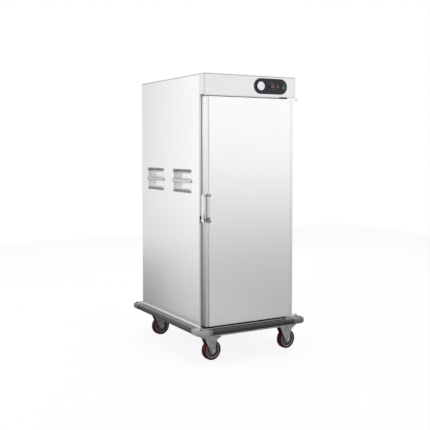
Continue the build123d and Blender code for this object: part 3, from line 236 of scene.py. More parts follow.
outerTone = {"dark": (0.785, 0.79, 0.795), "light": (0.825, 0.83, 0.835)}
sheet = {"roughness": 0.24, "grainRoughness": 0.08, "cloudRoughness": 0.05, "grainHeight": 0.004, "dust": 0.06}
uprightSheet = {**sheet, "grainScale": (900, 900, 10), "streakScale": (70, 70, 1.5), "wave": 0.20}
levelSheet = {**sheet, "grainScale": (10, 900, 900), "streakScale": (1.5, 70, 70), "wave": 0.10}
polished = {
    "grainScale": (60, 60, 60), "streakScale": (20, 20, 20), "grainRoughness": 0.10, "cloudRoughness": 0.04,
    "grainHeight": 0.004, "wave": 0.0, "dust": 0.02,
}
steelLooks = {
    "steel": {**uprightSheet, **outerTone, "paintedLight": [roofEdgeShade]},
    "doorSteel": {**uprightSheet, **outerTone, "paintedLight": [doorSideShade, doorStepShade, doorSlopeHighlight, doorFoldShade]},
    # The grip pans' steel is a near-white, less metallic copy of the level steel: painted light in their hollows.
    "gripSteel": {**levelSheet, "dark": (0.95, 0.95, 0.955), "light": (0.975, 0.975, 0.98), "roughness": 0.30,
                  "metallic": 0.75, "paintedLight": gripRimShades},
    "gripBar": {**polished, "dark": (0.50, 0.50, 0.51), "light": (0.60, 0.60, 0.61), "roughness": 0.16},
    "latchSteel": {**polished, "dark": (0.60, 0.60, 0.61), "light": (0.70, 0.70, 0.71), "roughness": 0.22,
                   "paintedLight": latchEndShades},
    # The lever's steel is a near-white copy of the polished steel: painted highlight.
    "leverSteel": {**polished, "dark": grey(0.95), "light": grey(0.98), "roughness": 0.14, "grainRoughness": 0.08,
                   "metallic": 0.85, "paintedLight": leverArmShades},
    # The head's steel is a darker copy of the outer steel: painted shade.
    "headSteel": {**levelSheet, "dark": (0.66, 0.665, 0.67), "light": (0.70, 0.705, 0.71), "paintedLight": [roofEdgeShade]},
    "insideSteel": {"dark": (0.62, 0.63, 0.64), "light": (0.74, 0.745, 0.75), "grainScale": (8, 180, 180),
                    "streakScale": (2, 50, 50), "roughness": 0.30, "grainRoughness": 0.12, "cloudRoughness": 0.10,
                    "grainHeight": 0.008, "wave": 0.3, "dust": 0.05},
    "bright": {**polished, "dark": (0.74, 0.74, 0.75), "light": (0.83, 0.83, 0.84), "roughness": 0.12},
}


zincLook = {
    "tone": (0.46, 0.47, 0.475), "spangleScale": 120.0, "spangleShare": 0.16,
    "stain": {"scale": 26.0, "detail": 5.0, "rough": 0.6}, "stainSpan": (0.46, 0.68), "stainShare": 0.7,
    "stainTone": (0.27, 0.27, 0.265), "scratchScale": (30, 30, 400), "scratchDetail": 2.0, "scratchHeight": 0.5,
    "metallic": 0.95, "roughness": 0.30, "stainRoughness": 0.18, "scratchRoughness": 0.08, "height": 0.03,
}


def zincPlate(name, look):
    material, board = newMaterial(name)
    cells = {"Vector": board.place(), "Scale": look["spangleScale"]}
    spangle = board.node("ShaderNodeTexVoronoi", {}, cells, output="Color")
    stain = board.noise(board.place(), **look["stain"])
    scratches = board.noise(board.place(look["scratchScale"]), detail=look["scratchDetail"])
    tone = board.blend(look["spangleShare"], look["tone"], spangle, "SOFT_LIGHT")
    tone = board.blend(board.ramp(stain, *look["stainSpan"]) * look["stainShare"], tone, look["stainTone"])
    return finishMaterial(material, board, {
        "Base Color": tone,
        "Metallic": look["metallic"],
        "Roughness": look["roughness"] + stain * look["stainRoughness"] + scratches * look["scratchRoughness"],
        "Normal": board.bump(stain + scratches * look["scratchHeight"], look["height"] * millimetre),
    })


vinylWear = {
    "grain": {"scale": 900.0, "detail": 2.0},
    "scuffs": {"detail": 5.0, "rough": 0.65, "warp": 0.4}, "scuffSpan": (0.60, 0.74), "scuffShare": 0.35,
    "dust": {"scale": 14.0, "detail": 5.0, "rough": 0.6}, "dustSpan": (0.48, 0.72),
    "roughness": 0.12, "scuffHeight": 0.8, "gloss": 0.5,
}


def vinyl(name, look):
    material, board = newMaterial(name)
    grain = board.noise(board.place(), **vinylWear["grain"])
    scuffs = board.noise(board.place(look["scuffScale"]), **vinylWear["scuffs"])
    dust = board.noise(board.place(), **vinylWear["dust"])
    rubbed = board.ramp(scuffs, *vinylWear["scuffSpan"])
    powder = board.ramp(dust, *vinylWear["dustSpan"])
    tone = board.blend(grain, look["dark"], look["light"])
    tone = board.blend(powder * look["dust"], tone, look["dustTone"])
    tone = board.blend(rubbed * vinylWear["scuffShare"], tone, look["scuffTone"])
    tone = shaded(board, tone, look.get("paintedLight", []))
    return finishMaterial(material, board, {
        "Base Color": tone,
        "Roughness": look["roughness"] + powder * vinylWear["roughness"] + rubbed * vinylWear["roughness"],
        "Specular IOR Level": vinylWear["gloss"],
        "Normal": board.bump(grain + rubbed * vinylWear["scuffHeight"], look["grainHeight"] * millimetre),
    })


# Painted highlight: the front left bumper corner paler than the other corners.
cornerHighlight = {"box": {"x": (-0.41, -0.34), "y": (-0.52, -0.43), "z": (0.19, 0.22)}, "soft": 0.03, "share": 0.85,
              "tone": grey(0.50)}
seal = {"dust": 0.12, "roughness": 0.5, "grainHeight": 0.02, "scuffScale": (10, 10, 10)}
vinylLooks = {
    "rail": {"dark": (0.022, 0.022, 0.023), "light": (0.034, 0.034, 0.036), "dustTone": grey(0.09),
             "scuffTone": grey(0.06), "dust": 0.15, "roughness": 0.22, "grainHeight": 0.01, "scuffScale": (6, 6, 60)},
    "corner": {"dark": (0.15, 0.15, 0.153), "light": (0.18, 0.18, 0.183), "dustTone": (0.26, 0.26, 0.255),
               "scuffTone": grey(0.24), "dust": 0.20, "roughness": 0.24, "grainHeight": 0.02,
               "scuffScale": (8, 8, 50), "paintedLight": [cornerHighlight]},
    "gasket": {**seal, "dark": (0.035, 0.035, 0.037), "light": (0.05, 0.05, 0.052), "dustTone": grey(0.12),
               "scuffTone": grey(0.09)},
    "paleGasket": {**seal, "dark": grey(0.42), "light": grey(0.48), "dustTone": (0.54, 0.54, 0.53),
                   "scuffTone": grey(0.36)},
}


plasticHaze = {"noise": {"scale": 18.0, "detail": 4.0}, "span": (0.5, 0.8), "share": 0.25, "roughness": 0.10}


def plasticFinish(name, look):
    material, board = newMaterial(name)
    grain = board.noise(board.place(), scale=look["grainScale"], detail=2.0)
    haze = board.noise(board.place(), **plasticHaze["noise"])
    tone = board.blend(grain, look["dark"], look["light"])
    tone = board.blend(board.ramp(haze, *plasticHaze["span"]) * plasticHaze["share"], tone, look["haze"])
    return finishMaterial(material, board, {
        "Base Color": tone,
        "Roughness": look["roughness"] + haze * plasticHaze["roughness"],
        "Coat Weight": look.get("coat", 0.0),
        "Coat Roughness": 0.12,
        "Specular IOR Level": look.get("gloss", 0.5),
        "Normal": board.bump(grain, look["grainHeight"] * millimetre),
    })


plasticLooks = {
    "black": {"dark": (0.016, 0.016, 0.018), "light": (0.026, 0.026, 0.029), "haze": (0.05, 0.05, 0.055),
              "grainScale": 700.0, "roughness": 0.34, "grainHeight": 0.02},
    "panel": {"dark": (0.010, 0.010, 0.017), "light": (0.017, 0.017, 0.027), "haze": (0.035, 0.035, 0.045),
              "grainScale": 700.0, "roughness": 0.40, "grainHeight": 0.02, "gloss": 0.4},
    # This matt black serves as painted shade, under the door and in the wheels' grooves.
    "matt": {"dark": grey(0.006), "light": grey(0.010), "haze": grey(0.014),
             "grainScale": 500.0, "roughness": 0.75, "grainHeight": 0.02, "gloss": 0.1},
    "knob": {"dark": (0.045, 0.045, 0.050), "light": (0.065, 0.065, 0.072), "haze": (0.10, 0.10, 0.11),
             "grainScale": 900.0, "roughness": 0.30, "grainHeight": 0.01, "coat": 0.2},
    "core": {"dark": (0.18, 0.18, 0.185), "light": (0.23, 0.23, 0.235), "haze": (0.30, 0.295, 0.29),
             "grainScale": 500.0, "roughness": 0.38, "grainHeight": 0.04},
    "green": {"dark": (0.010, 0.13, 0.085), "light": (0.018, 0.18, 0.12), "haze": (0.05, 0.28, 0.20),
              "grainScale": 300.0, "roughness": 0.20, "grainHeight": 0.0, "coat": 0.6},
    "red": {"dark": (0.55, 0.03, 0.02), "light": (0.62, 0.04, 0.03), "haze": (0.62, 0.10, 0.08),
            "grainScale": 300.0, "roughness": 0.35, "grainHeight": 0.0},
    "white": {"dark": (0.86, 0.86, 0.89), "light": (0.90, 0.90, 0.93), "haze": (0.84, 0.84, 0.87),
              "grainScale": 400.0, "roughness": 0.45, "grainHeight": 0.005},
    "print": {"dark": grey(0.02), "light": grey(0.03), "haze": grey(0.05),
              "grainScale": 400.0, "roughness": 0.5, "grainHeight": 0.0},
    "whitePrint": {"dark": grey(0.70), "light": grey(0.78), "haze": grey(0.6),
                   "grainScale": 400.0, "roughness": 0.5, "grainHeight": 0.0},
}


tyreLook = {
    "dark": (0.070, 0.006, 0.009), "light": (0.115, 0.011, 0.015),
    "mottle": {"scale": 45.0, "detail": 5.0, "rough": 0.6}, "flow": {"scale": 260.0, "detail": 2.0},
    "dirt": {"scale": 16.0, "detail": 5.0, "rough": 0.65}, "dirtSpan": (0.50, 0.75), "dirtShare": 0.35,
    "dirtTone": (0.060, 0.034, 0.030), "dullSpan": (0.45, 0.7), "dullRoughness": 0.2,
    "roughness": 0.42, "gloss": 0.15, "height": 0.05,
}


def tyreRubber(name, look):
    material, board = newMaterial(name)
    mottle = board.noise(board.place(), **look["mottle"])
    dirt = board.noise(board.place(), **look["dirt"])
    flow = board.noise(board.place(), **look["flow"])
    tone = board.blend(mottle, look["dark"], look["light"])
    tone = board.blend(board.ramp(dirt, *look["dirtSpan"]) * look["dirtShare"], tone, look["dirtTone"])
    return finishMaterial(material, board, {
        "Base Color": tone,
        "Roughness": look["roughness"] + board.ramp(dirt, *look["dullSpan"]) * look["dullRoughness"],
        "Specular IOR Level": look["gloss"],
        "Normal": board.bump(flow + mottle, look["height"] * millimetre),
    })


glassLook = {
    "tone": (0.93, 0.93, 0.98), "metallic": 0.9, "smear": {"scale": 60.0, "detail": 4.0},
    "roughness": 0.04, "smearRoughness": 0.08, "alpha": 0.42, "smearAlpha": 0.16,
}


def clearGlass(name, look):
    # Half a mirror, so that the white surroundings show in it over the dial.
    material, board = newMaterial(name)
    smear = board.noise(board.place(), **look["smear"])
    return finishMaterial(material, board, {
        "Base Color": look["tone"],
        "Metallic": look["metallic"],
        "Roughness": look["roughness"] + smear * look["smearRoughness"],
        "Alpha": look["alpha"] + smear * look["smearAlpha"],
    })


amberLook = {
    "light": (0.44, 0.10, 0.03), "dark": (0.17, 0.022, 0.008), "facetScale": 620.0, "facetSpan": (0.1, 0.6),
    "roughness": 0.16, "coat": 0.8, "coatRoughness": 0.05, "height": 0.12,
}


def amberLens(name, look):
    material, board = newMaterial(name)
    facets = board.node("ShaderNodeTexVoronoi", {}, {"Vector": board.place(), "Scale": look["facetScale"]})
    tone = board.blend(board.ramp(facets, *look["facetSpan"]), look["light"], look["dark"])
    return finishMaterial(material, board, {
        "Base Color": tone,
        "Roughness": look["roughness"],
        "Coat Weight": look["coat"],
        "Coat Roughness": look["coatRoughness"],
        "Normal": board.bump(facets, look["height"] * millimetre),
    })


woolLook = {
    "dark": (0.48, 0.42, 0.26), "light": (0.72, 0.66, 0.48), "fibreScale": (60, 260, 260),
    "fibres": {"detail": 5.0, "rough": 0.7, "warp": 1.2}, "roughness": 0.95, "height": 1.2,
}


def mineralWool(name, look):
    material, board = newMaterial(name)
    fibres = board.noise(board.place(look["fibreScale"]), **look["fibres"])
    tone = board.blend(fibres, look["dark"], look["light"])
    return finishMaterial(material, board, {
        "Base Color": tone,
        "Roughness": look["roughness"],
        "Normal": board.bump(fibres, look["height"] * millimetre),
    })


sheathLook = {
    "dark": (0.16, 0.15, 0.15), "light": (0.30, 0.24, 0.20), "bands": {"scale": 22.0, "detail": 4.0},
    "bandSpan": (0.35, 0.7), "metallic": 0.85, "roughness": 0.42, "bandRoughness": 0.15, "height": 0.03,
}


def heatedSheath(name, look):
    material, board = newMaterial(name)
    bands = board.noise(board.place(), **look["bands"])
    tone = board.blend(board.ramp(bands, *look["bandSpan"]), look["dark"], look["light"])
    return finishMaterial(material, board, {
        "Base Color": tone,
        "Metallic": look["metallic"],
        "Roughness": look["roughness"] + bands * look["bandRoughness"],
        "Normal": board.bump(bands, look["height"] * millimetre),
    })


finishes = {name: brushedSteel(name, look) for name, look in steelLooks.items()}
finishes["zinc"] = zincPlate("zinc", zincLook)
finishes.update({name: vinyl(name, look) for name, look in vinylLooks.items()})
finishes["tyre"] = tyreRubber("tyre", tyreLook)
finishes["glass"] = clearGlass("glass", glassLook)
finishes["amber"] = amberLens("amber", amberLook)
finishes["wool"] = mineralWool("wool", woolLook)
finishes["sheath"] = heatedSheath("sheath", sheathLook)
finishes.update({name: plasticFinish(name, look) for name, look in plasticLooks.items()})
print("finishes made,", len(finishes))

finishOfNode = {
    "side_panels": "steel", "back_panel": "steel", "top_panel": "headSteel", "front_frame": "steel",
    "head_fascia": "headSteel", "door_skin": "doorSteel", "door_liner": "insideSteel", "floor_pan": "headSteel",
    "chassis_frame": "zinc", "inner_liner": "insideSteel", "wall_insulation": "wool",
    "door_insulation": "wool", "door_gasket": "paleGasket", "grip_pans": "gripSteel", "grip_bars": "gripBar",
    "bumper_rails": "rail", "bumper_corners": "corner", "rack_uprights": "insideSteel",
    "tray_rails": "insideSteel", "heating_element": "sheath", "pan_stand": "insideSteel",
    "water_pan": "insideSteel", "fan_motor": "zinc", "fan_wheel": "zinc", "fan_cover": "insideSteel",
    "cable_gland": "black", "control_panel": "panel", "thermometer_case": "black",
    "thermometer_dial": "white", "thermometer_glass": "glass", "thermometer_needle": "red",
    "thermostat_body": "black", "thermostat_knob": "knob", "indicator_lamp": "amber",
    "switch_body": "black", "switch_rocker": "green", "fixed_hinges": "bright", "hinge_arms": "bright",
    "door_buffer": "gasket", "latch_body": "latchSteel", "latch_pins": "bright", "latch_lever": "leverSteel",
    "strike_bracket": "latchSteel", "strike_roller": "black", "castor_plates": "zinc", "castor_bolts": "zinc",
}
finishOfKind = {"castor_fork": "zinc", "castor_wheel": "core", "castor_tyre": "tyre", "brake_pedal": "zinc"}


def dressNodes():
    for name, node in nodes.items():
        key = finishOfNode.get(name) or finishOfKind[name.rsplit("_", 1)[0]]
        for index in range(max(1, len(node.data.materials))):
            if index < len(node.material_slots):
                node.material_slots[index].material = finishes[key]
            else:
                node.data.materials.append(finishes[key])


dressNodes()
print("nodes dressed")


# Small pieces. Sizes are in millimetres in the cabinet's own frame.

sharpAngle = math.radians(35)
right, back, up = Vector((1, 0, 0)), Vector((0, 1, 0)), Vector((0, 0, 1))
left, front = -right, -back


def evenly(first, last, steps):
    return [first + (last - first) * step / steps for step in range(steps + 1)]


def stripOutline(halfWidth, low, high):
    return [(-halfWidth, low), (halfWidth, low), (halfWidth, high), (-halfWidth, high)]


def turnedMesh(profile, steps=24, closed=False):
    # Each row of the profile is a radius and a height, and a third number gives its ring that many flat sides.
    mesh = bmesh.new()
    rings = []
    for radius, height, *sides in profile:
        half = math.pi / sides[0] if sides else 0
        ring = []
        for step in range(steps if radius else 1):
            angle = 2 * math.pi * step / steps
            reach = radius * math.cos(half) / math.cos(angle % (2 * half) - half) if sides else radius
            spot = Vector((reach * math.cos(angle), reach * math.sin(angle), height))
            ring.append(mesh.verts.new(spot * millimetre))
        rings.append(ring)
    pairs = list(zip(rings, rings[1:])) + ([(rings[-1], rings[0])] if closed else [])
    for low, high in pairs:
        for step in range(steps):
            after = (step + 1) % steps
            corners = [low[step % len(low)], low[after % len(low)], high[after % len(high)], high[step % len(high)]]
            mesh.faces.new(list(dict.fromkeys(corners)))
    bmesh.ops.recalc_face_normals(mesh, faces=mesh.faces)
    return mesh


def plateMesh(outline, thickness, bevel=0.0):
    # An outline in the XY plane, raised along Z, with its upper edges bevelled.
    mesh = bmesh.new()
    face = mesh.faces.new([mesh.verts.new(Vector((x, y, 0)) * millimetre) for x, y in outline])
    raised = bmesh.ops.extrude_face_region(mesh, geom=[face])["geom"]
    top = [part for part in raised if isinstance(part, bmesh.types.BMFace)][0]
    bmesh.ops.translate(mesh, verts=list(top.verts), vec=up * thickness * millimetre)
    if bevel:
        bmesh.ops.bevel(mesh, geom=list(top.edges), offset=bevel * millimetre, segments=2, affect="EDGES")
    bmesh.ops.recalc_face_normals(mesh, faces=mesh.faces)
    return mesh


def frameAt(place, facing, across):
    # A matrix that puts a mesh at a place, its Z along facing and its X along across.
    upright = facing.cross(across)
    turn = Matrix((across, upright, facing)).transposed().to_4x4()
    return Matrix.Translation(Vector(place) * millimetre) @ turn


def meshData(name, mesh):
    # The data of a bmesh, which is freed, or of a mesh that is data already.
    if not isinstance(mesh, bmesh.types.BMesh):
        mesh.name = name
        return mesh
    data = bpy.data.meshes.new(name)
    mesh.to_mesh(data)
    mesh.free()
    return data


def addPiece(name, mesh, finish, body, smooth=True):
    data = meshData(name, mesh)
    if not data.materials:
        data.materials.append(finishes[finish])
    if smooth:
        data.shade_smooth()
        data.set_sharp_from_angle(angle=sharpAngle)
    piece = addObject(name, data)
    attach(piece, body)


def joined(parts):
    whole = bmesh.new()
    for mesh, matrix in parts:
        data = meshData("part", mesh)
        data.transform(matrix)
        whole.from_mesh(data)
        bpy.data.meshes.remove(data)
    return whole


def placed(mesh, matrix):
    return joined([(mesh, matrix)])


def makeRepeatTree():
    # Sets one item on every place, turned by the places' own directions, with a spin that may be random.
    tree = bpy.data.node_groups.new("repeatItems", "GeometryNodeTree")
    sockets = {"Places": "Geometry", "Item": "Object", "Spread": "Float", "Seed": "Int", "Finish": "Material"}
    for title, kind in sockets.items():
        tree.interface.new_socket(title, in_out="INPUT", socket_type="NodeSocket" + kind)
    tree.interface.new_socket("Items", in_out="OUTPUT", socket_type="NodeSocketGeometry")
    board = Board(tree)
    asked = tree.nodes.new("NodeGroupInput")
    given = {title: Value(board, asked.outputs[title]) for title in sockets}
    item = board.node("GeometryNodeObjectInfo", {}, {"Object": given["Item"]}, output="Geometry")
    vectors = {
        name: board.node("GeometryNodeInputNamedAttribute", {"data_type": "FLOAT_VECTOR"}, {"Name": name})
        for name in ("facing", "across")
    }
    axes = {"primary_axis": "Z", "secondary_axis": "X"}
    turn = board.node("FunctionNodeAxesToRotation", axes, {0: vectors["facing"], 1: vectors["across"]})
    seated = {"Points": given["Places"], "Instance": item, "Rotation": turn}
    items = board.node("GeometryNodeInstanceOnPoints", {}, seated)
    spin = board.node("FunctionNodeRandomValue", {"data_type": "FLOAT"},
                      {2: 0.0, 3: given["Spread"], "Seed": given["Seed"]}, output=1)
    spinVector = board.node("ShaderNodeCombineXYZ", {}, {"Z": spin})
    items = board.node("GeometryNodeRotateInstances", {}, {"Instances": items, "Rotation": spinVector})
    items = board.node("GeometryNodeRealizeInstances", {}, {"Geometry": items})
    items = board.node("GeometryNodeSetMaterial", {}, {"Geometry": items, "Material": given["Finish"]})
    board.node("NodeGroupOutput", {}, {"Items": items})
    return tree


repeatTree = makeRepeatTree()


def repeatOn(name, itemMesh, places, finish, body, spread=0.0, seed=1):
    # Each row of places is a place, the way it faces, and the way its X axis runs.
    item = addObject(name + "Item", meshData(name + "Item", itemMesh))
    data = bpy.data.meshes.new(name + "Places")
    data.from_pydata([Vector(row[0]) * millimetre for row in places], [], [])
    for column, title in ((1, "facing"), (2, "across")):
        attribute = data.attributes.new(title, "FLOAT_VECTOR", "POINT")
        for index, row in enumerate(places):
            attribute.data[index].vector = row[column]
    carrier = addObject(name + "Carrier", data)
    modifier = carrier.modifiers.new("repeat", "NODES")
    modifier.node_group = repeatTree
    wanted = {"Item": item, "Spread": spread, "Seed": seed, "Finish": finishes[finish]}
    for socket in repeatTree.interface.items_tree:
        if socket.in_out == "INPUT" and socket.name in wanted:
            modifier[socket.identifier] = wanted[socket.name]
    evaluated = carrier.evaluated_get(bpy.context.evaluated_depsgraph_get())
    mesh = bpy.data.meshes.new_from_object(evaluated)
    carrier.modifiers.clear()
    bpy.data.objects.remove(carrier)
    bpy.data.objects.remove(item)
    addPiece(name, mesh, finish, body)


# Screws, bolts and rivets

# The drive of the pan screw has six flat sides.
heads = {
    "panScrew": [(0, 1.1), (1.7, 1.1, 6), (1.7, 1.9, 6), (2.6, 2.1), (3.4, 1.9), (4.1, 1.3), (4.4, 0.5), (4.4, -0.3)],
    "capBolt": [(0, 4.6), (3.2, 4.4), (5.6, 3.7), (7.2, 2.3), (7.8, 0.8), (8.6, 0.6), (8.6, -0.3)],
    "rivet": [(0, 1.3), (1.5, 1.15), (2.4, 0.7), (2.9, 0.1), (2.9, -0.3)],
    "axleNut": [(0, 3.4), (3.0, 3.3), (4.2, 2.6), (4.3, 1.2), (6.2, 1.0), (6.8, 0.3), (6.8, -0.3)],
}
shell = {"halfWidth": 338.0, "back": 461.0, "top": 1780.0}
bumper = {"reach": 50.0, "halfWidth": 353.0, "mid": 200.0, "top": 218.0, "grooveInset": 3.0}
fasteners = {
    "railAcross": (-240.0, -110.0, 110.0, 240.0),
    "railAlong": (-340.0, -170.0, 0.0, 170.0, 340.0),
    "cornerBolt": (372.0, 480.0),
    "backSide": (308.0, (245.0, 435.0, 625.0, 815.0, 1005.0, 1195.0, 1385.0, 1575.0, 1755.0)),
    "backLevel": ((-205.0, -102.0, 0.0, 102.0, 205.0), (245.0, 1755.0)),
    "roof": (318.0, (-350.0, -150.0, 50.0, 250.0, 430.0)),
    "headSide": (-431.0, (1668.0, 1762.0)),
    "latch": (-309.0, -464.0, (912.0, 961.0, 1010.0)),
    "upright": (278.0, (-300.0, 260.0), (325.0, 1540.0)),
    "fanCover": (204.0, 350.0, (596.0, 1124.0)),
}


def fastenerPlaces():
    rail = bumper["halfWidth"] + bumper["reach"] - bumper["grooveInset"]
    railY = shell["back"] + bumper["reach"] - bumper["grooveInset"]
    cornerX, cornerY = fasteners["cornerBolt"]
    sideX, sideLevels = fasteners["backSide"]
    levelX, levels = fasteners["backLevel"]
    roofX, roofY = fasteners["roof"]
    headY, headLevels = fasteners["headSide"]
    latchX, latchY, latchLevels = fasteners["latch"]
    uprightX, uprightY, uprightLevels = fasteners["upright"]
    coverX, coverY, coverLevels = fasteners["fanCover"]
    rows = {"rail": [], "corner": [], "shell": [], "latch": [], "inside": []}
    for side in (-1, 1):
        rows["rail"] += [((x, side * railY, bumper["mid"]), back * side, right) for x in fasteners["railAcross"]]
        rows["rail"] += [((side * rail, y, bumper["mid"]), right * side, back) for y in fasteners["railAlong"]]
        rows["corner"] += [((side * cornerX, y, bumper["top"]), up, right) for y in (-cornerY, cornerY)]
        rows["shell"] += [((side * sideX, shell["back"], z), back, right) for z in sideLevels]
        rows["shell"] += [((side * roofX, y, shell["top"]), up, right) for y in roofY]
        rows["shell"] += [((side * shell["halfWidth"], headY, z), right * side, back) for z in headLevels]
        for z in uprightLevels:
            rows["inside"] += [((side * uprightX, y, z), left * side, back) for y in uprightY]
        rows["inside"] += [((side * coverX, coverY, z), front, right) for z in coverLevels]
    rows["shell"] += [((x, shell["back"], z), back, right) for x in levelX for z in levels]
    rows["latch"] = [((latchX, latchY, z), front, right) for z in latchLevels]
    return rows


placesOf = fastenerPlaces()
anySpin = 2 * math.pi
repeatOn("railScrews", turnedMesh(heads["panScrew"]), placesOf["rail"], "black", "cabinet", anySpin, seed=3)
repeatOn("cornerCaps", turnedMesh(heads["capBolt"]), placesOf["corner"], "black", "cabinet")
repeatOn("shellRivets", turnedMesh(heads["rivet"], steps=16), placesOf["shell"], "bright", "cabinet")
repeatOn("latchScrews", turnedMesh(heads["panScrew"]), placesOf["latch"], "bright", "door", anySpin, seed=5)
repeatOn("insideScrews", turnedMesh(heads["panScrew"]), placesOf["inside"], "bright", "cabinet", anySpin, seed=7)
print("fasteners set")


# A matt black strip under the door, which paints the shade in the gap between the door and the bumper

shadeStrip = {
    "left": -320.0, "right": 262.0, "front": -458.0, "back": -403.0, "bottom": 220.0, "height": 3.0, "bevel": 1.2,
}


def addSill():
    middle = ((shadeStrip["left"] + shadeStrip["right"]) / 2, (shadeStrip["front"] + shadeStrip["back"]) / 2, shadeStrip["bottom"])
    halfX, halfY = (shadeStrip["right"] - shadeStrip["left"]) / 2, (shadeStrip["back"] - shadeStrip["front"]) / 2
    strip = plateMesh(stripOutline(halfX, -halfY, halfY), shadeStrip["height"], shadeStrip["bevel"])
    addPiece("doorSill", placed(strip, frameAt(middle, up, right)), "matt", "cabinet")


addSill()


# The rounded hem on the door's hinge side

doorEdge = {
    "from": 303.0, "to": 321.0, "front": -461.3, "back": -443.0, "bottom": 232.0, "top": 1638.0,
    "radius": 6.0, "arcSteps": 6, "bevel": 0.6,
}


def addDoorEdge():
    outline = [(doorEdge["from"], doorEdge["back"]), (doorEdge["from"], doorEdge["front"])]
    for degrees in evenly(-90, 0, doorEdge["arcSteps"]):
        angle = math.radians(degrees)
        outline.append((doorEdge["to"] + doorEdge["radius"] * (math.cos(angle) - 1),
                        doorEdge["front"] + doorEdge["radius"] * (math.sin(angle) + 1)))
    outline.append((doorEdge["to"], doorEdge["back"]))
    bar = plateMesh(outline, doorEdge["top"] - doorEdge["bottom"], doorEdge["bevel"])
    addPiece("doorEdge", placed(bar, frameAt((0, 0, doorEdge["bottom"]), up, right)), "steel", "door")


addDoorEdge()


# The drip edge along the foot of the head. Its section is folded back on itself, as depth and height.

drip = {
    "left": -336.5, "right": 209.0,
    "section": [(-460.9, 1652.0), (-460.9, 1645.6), (-460.5, 1644.8), (-459.6, 1644.4), (-455.0, 1644.4),
                (-454.6, 1644.9), (-455.0, 1645.4), (-459.0, 1645.6), (-459.3, 1646.2), (-459.3, 1652.0)],
}


def addDrip():
    strip = plateMesh(drip["section"], drip["right"] - drip["left"])
    addPiece("headDrip", placed(strip, frameAt((drip["left"], 0, 0), right, back)), "headSteel", "cabinet")


addDrip()


# Castors: each wheel's rim rings, black rings of painted shade in its grooves, hub caps and ribs, the axle's ends,
# and the pedals' treads

castor = {
    "places": {"fl": (-284.0, -390.0), "fr": (284.0, -390.0), "rl": (-284.0, 350.0), "rr": (284.0, 350.0)},
    "turn": 4.0, "trail": 36.0, "axleHeight": 62.5,
}
wheelTrim = {
    "wheelRings": {"body": "wheel", "finish": "zinc", "lift": 16.0, "steps": 64, "closed": True,
                   "profile": [(45.4, 0.0), (45.4, 0.7), (46.2, 1.2), (48.8, 1.2), (49.6, 0.7), (49.6, 0.0)]},
    # Painted shade: matt black rings at the foot of the wheels' grooves.
    "wheelGrooves": {"body": "wheel", "finish": "matt", "lift": 0.0, "steps": 64, "closed": True,
                     "profile": [(37.5, 5.7), (37.5, 6.3), (44.4, 6.3), (44.4, 5.7)]},
    "hubCaps": {"body": "wheel", "finish": "bright", "lift": 19.0, "steps": 32, "closed": True,
                "profile": [(6.2, 0.0), (6.2, 1.1), (11.4, 0.9), (12.6, 0.3), (13.0, 0.0)]},
    "axleEnds": {"body": "swivel", "finish": "bright", "lift": 29.5, "steps": 24, "closed": False,
                 "profile": heads["axleNut"]},
}
rib = {"count": 10, "inner": 15.5, "outer": 43.5, "half": 1.1, "low": 5.8, "high": 11.5, "bevel": 0.5}
pedal = {
    "x": 60.0, "z": 134.0, "radius": 8.0, "tipX": 37.0, "tipZ": 7.0, "tipRadius": 2.5,
    "treads": (14.0, 19.0, 24.0, 29.0, 34.0), "halfLength": 15.0, "half": 0.9, "height": 0.9,
    "sunk": 0.1, "bevel": 0.35,
}


def castorFrame(corner):
    x, y = castor["places"][corner]
    return Matrix.Translation(Vector((x, y, 0)) * millimetre) @ Matrix.Rotation(math.radians(castor["turn"]), 4, "Z")


def wheelSides(corner):
    # One frame for each side of the wheel, at its middle plane, facing out along the axle.
    axle = (castor["trail"], 0, castor["axleHeight"])
    return [castorFrame(corner) @ frameAt(axle, back * side, right * side) for side in (-1, 1)]


def addWheelTrim(corner):
    for name, trim in wheelTrim.items():
        lift = Matrix.Translation(up * trim["lift"] * millimetre)
        both = [(turnedMesh(trim["profile"], trim["steps"], trim["closed"]), side @ lift)
                for side in wheelSides(corner)]
        addPiece(f"{name}_{corner}", joined(both), trim["finish"], f"{trim['body']}_{corner}")


def addWheelRibs(corner):
    rows = []
    for side in wheelSides(corner):
        turn = side.to_3x3()
        facing = (turn @ up).normalized()
        for index in range(rib["count"]):
            angle = 2 * math.pi * (index + 0.5) / rib["count"]
            out = Vector((math.cos(angle), math.sin(angle), 0))
            middle = (side @ (out * (rib["inner"] + rib["outer"]) / 2 * millimetre)) / millimetre
            rows.append((middle + facing * rib["low"], facing, (turn @ out).normalized()))
    halfLength = (rib["outer"] - rib["inner"]) / 2
    bar = plateMesh(stripOutline(halfLength, -rib["half"], rib["half"]), rib["high"] - rib["low"], rib["bevel"])
    repeatOn("wheelRibs_" + corner, bar, rows, "core", "wheel_" + corner)


def addPedalTreads(corner):
    # The treads lie along the pedal's upper face, which is the tangent of its round root and its round tip.
    reach = math.hypot(pedal["tipX"], pedal["tipZ"])
    slope = math.atan2(pedal["tipZ"], pedal["tipX"]) - math.asin((pedal["radius"] - pedal["tipRadius"]) / reach)
    along = Vector((math.cos(slope), 0, math.sin(slope)))
    facing = Vector((-math.sin(slope), 0, math.cos(slope)))
    matrix = castorFrame(corner)
    turn = matrix.to_3x3()
    rows = []
    for distance in pedal["treads"]:
        root = Vector((pedal["x"], 0, pedal["z"]))
        spot = root + facing * (pedal["radius"] - pedal["sunk"]) + along * distance
        rows.append(((matrix @ (spot * millimetre)) / millimetre, turn @ facing, turn @ along))
    outline = stripOutline(pedal["half"], -pedal["halfLength"], pedal["halfLength"])
    bar = plateMesh(outline, pedal["height"], pedal["bevel"])
    repeatOn("pedalTreads_" + corner, bar, rows, "zinc", "pedal_" + corner)


for corner in castor["places"]:
    addWheelTrim(corner)
    addWheelRibs(corner)
    if corner.startswith("f"):
        addPedalTreads(corner)
print("castor details set")


# Marks on the controls: the thermometer's scale, numbers and needle hub, and the knob's scale, numbers and pointer

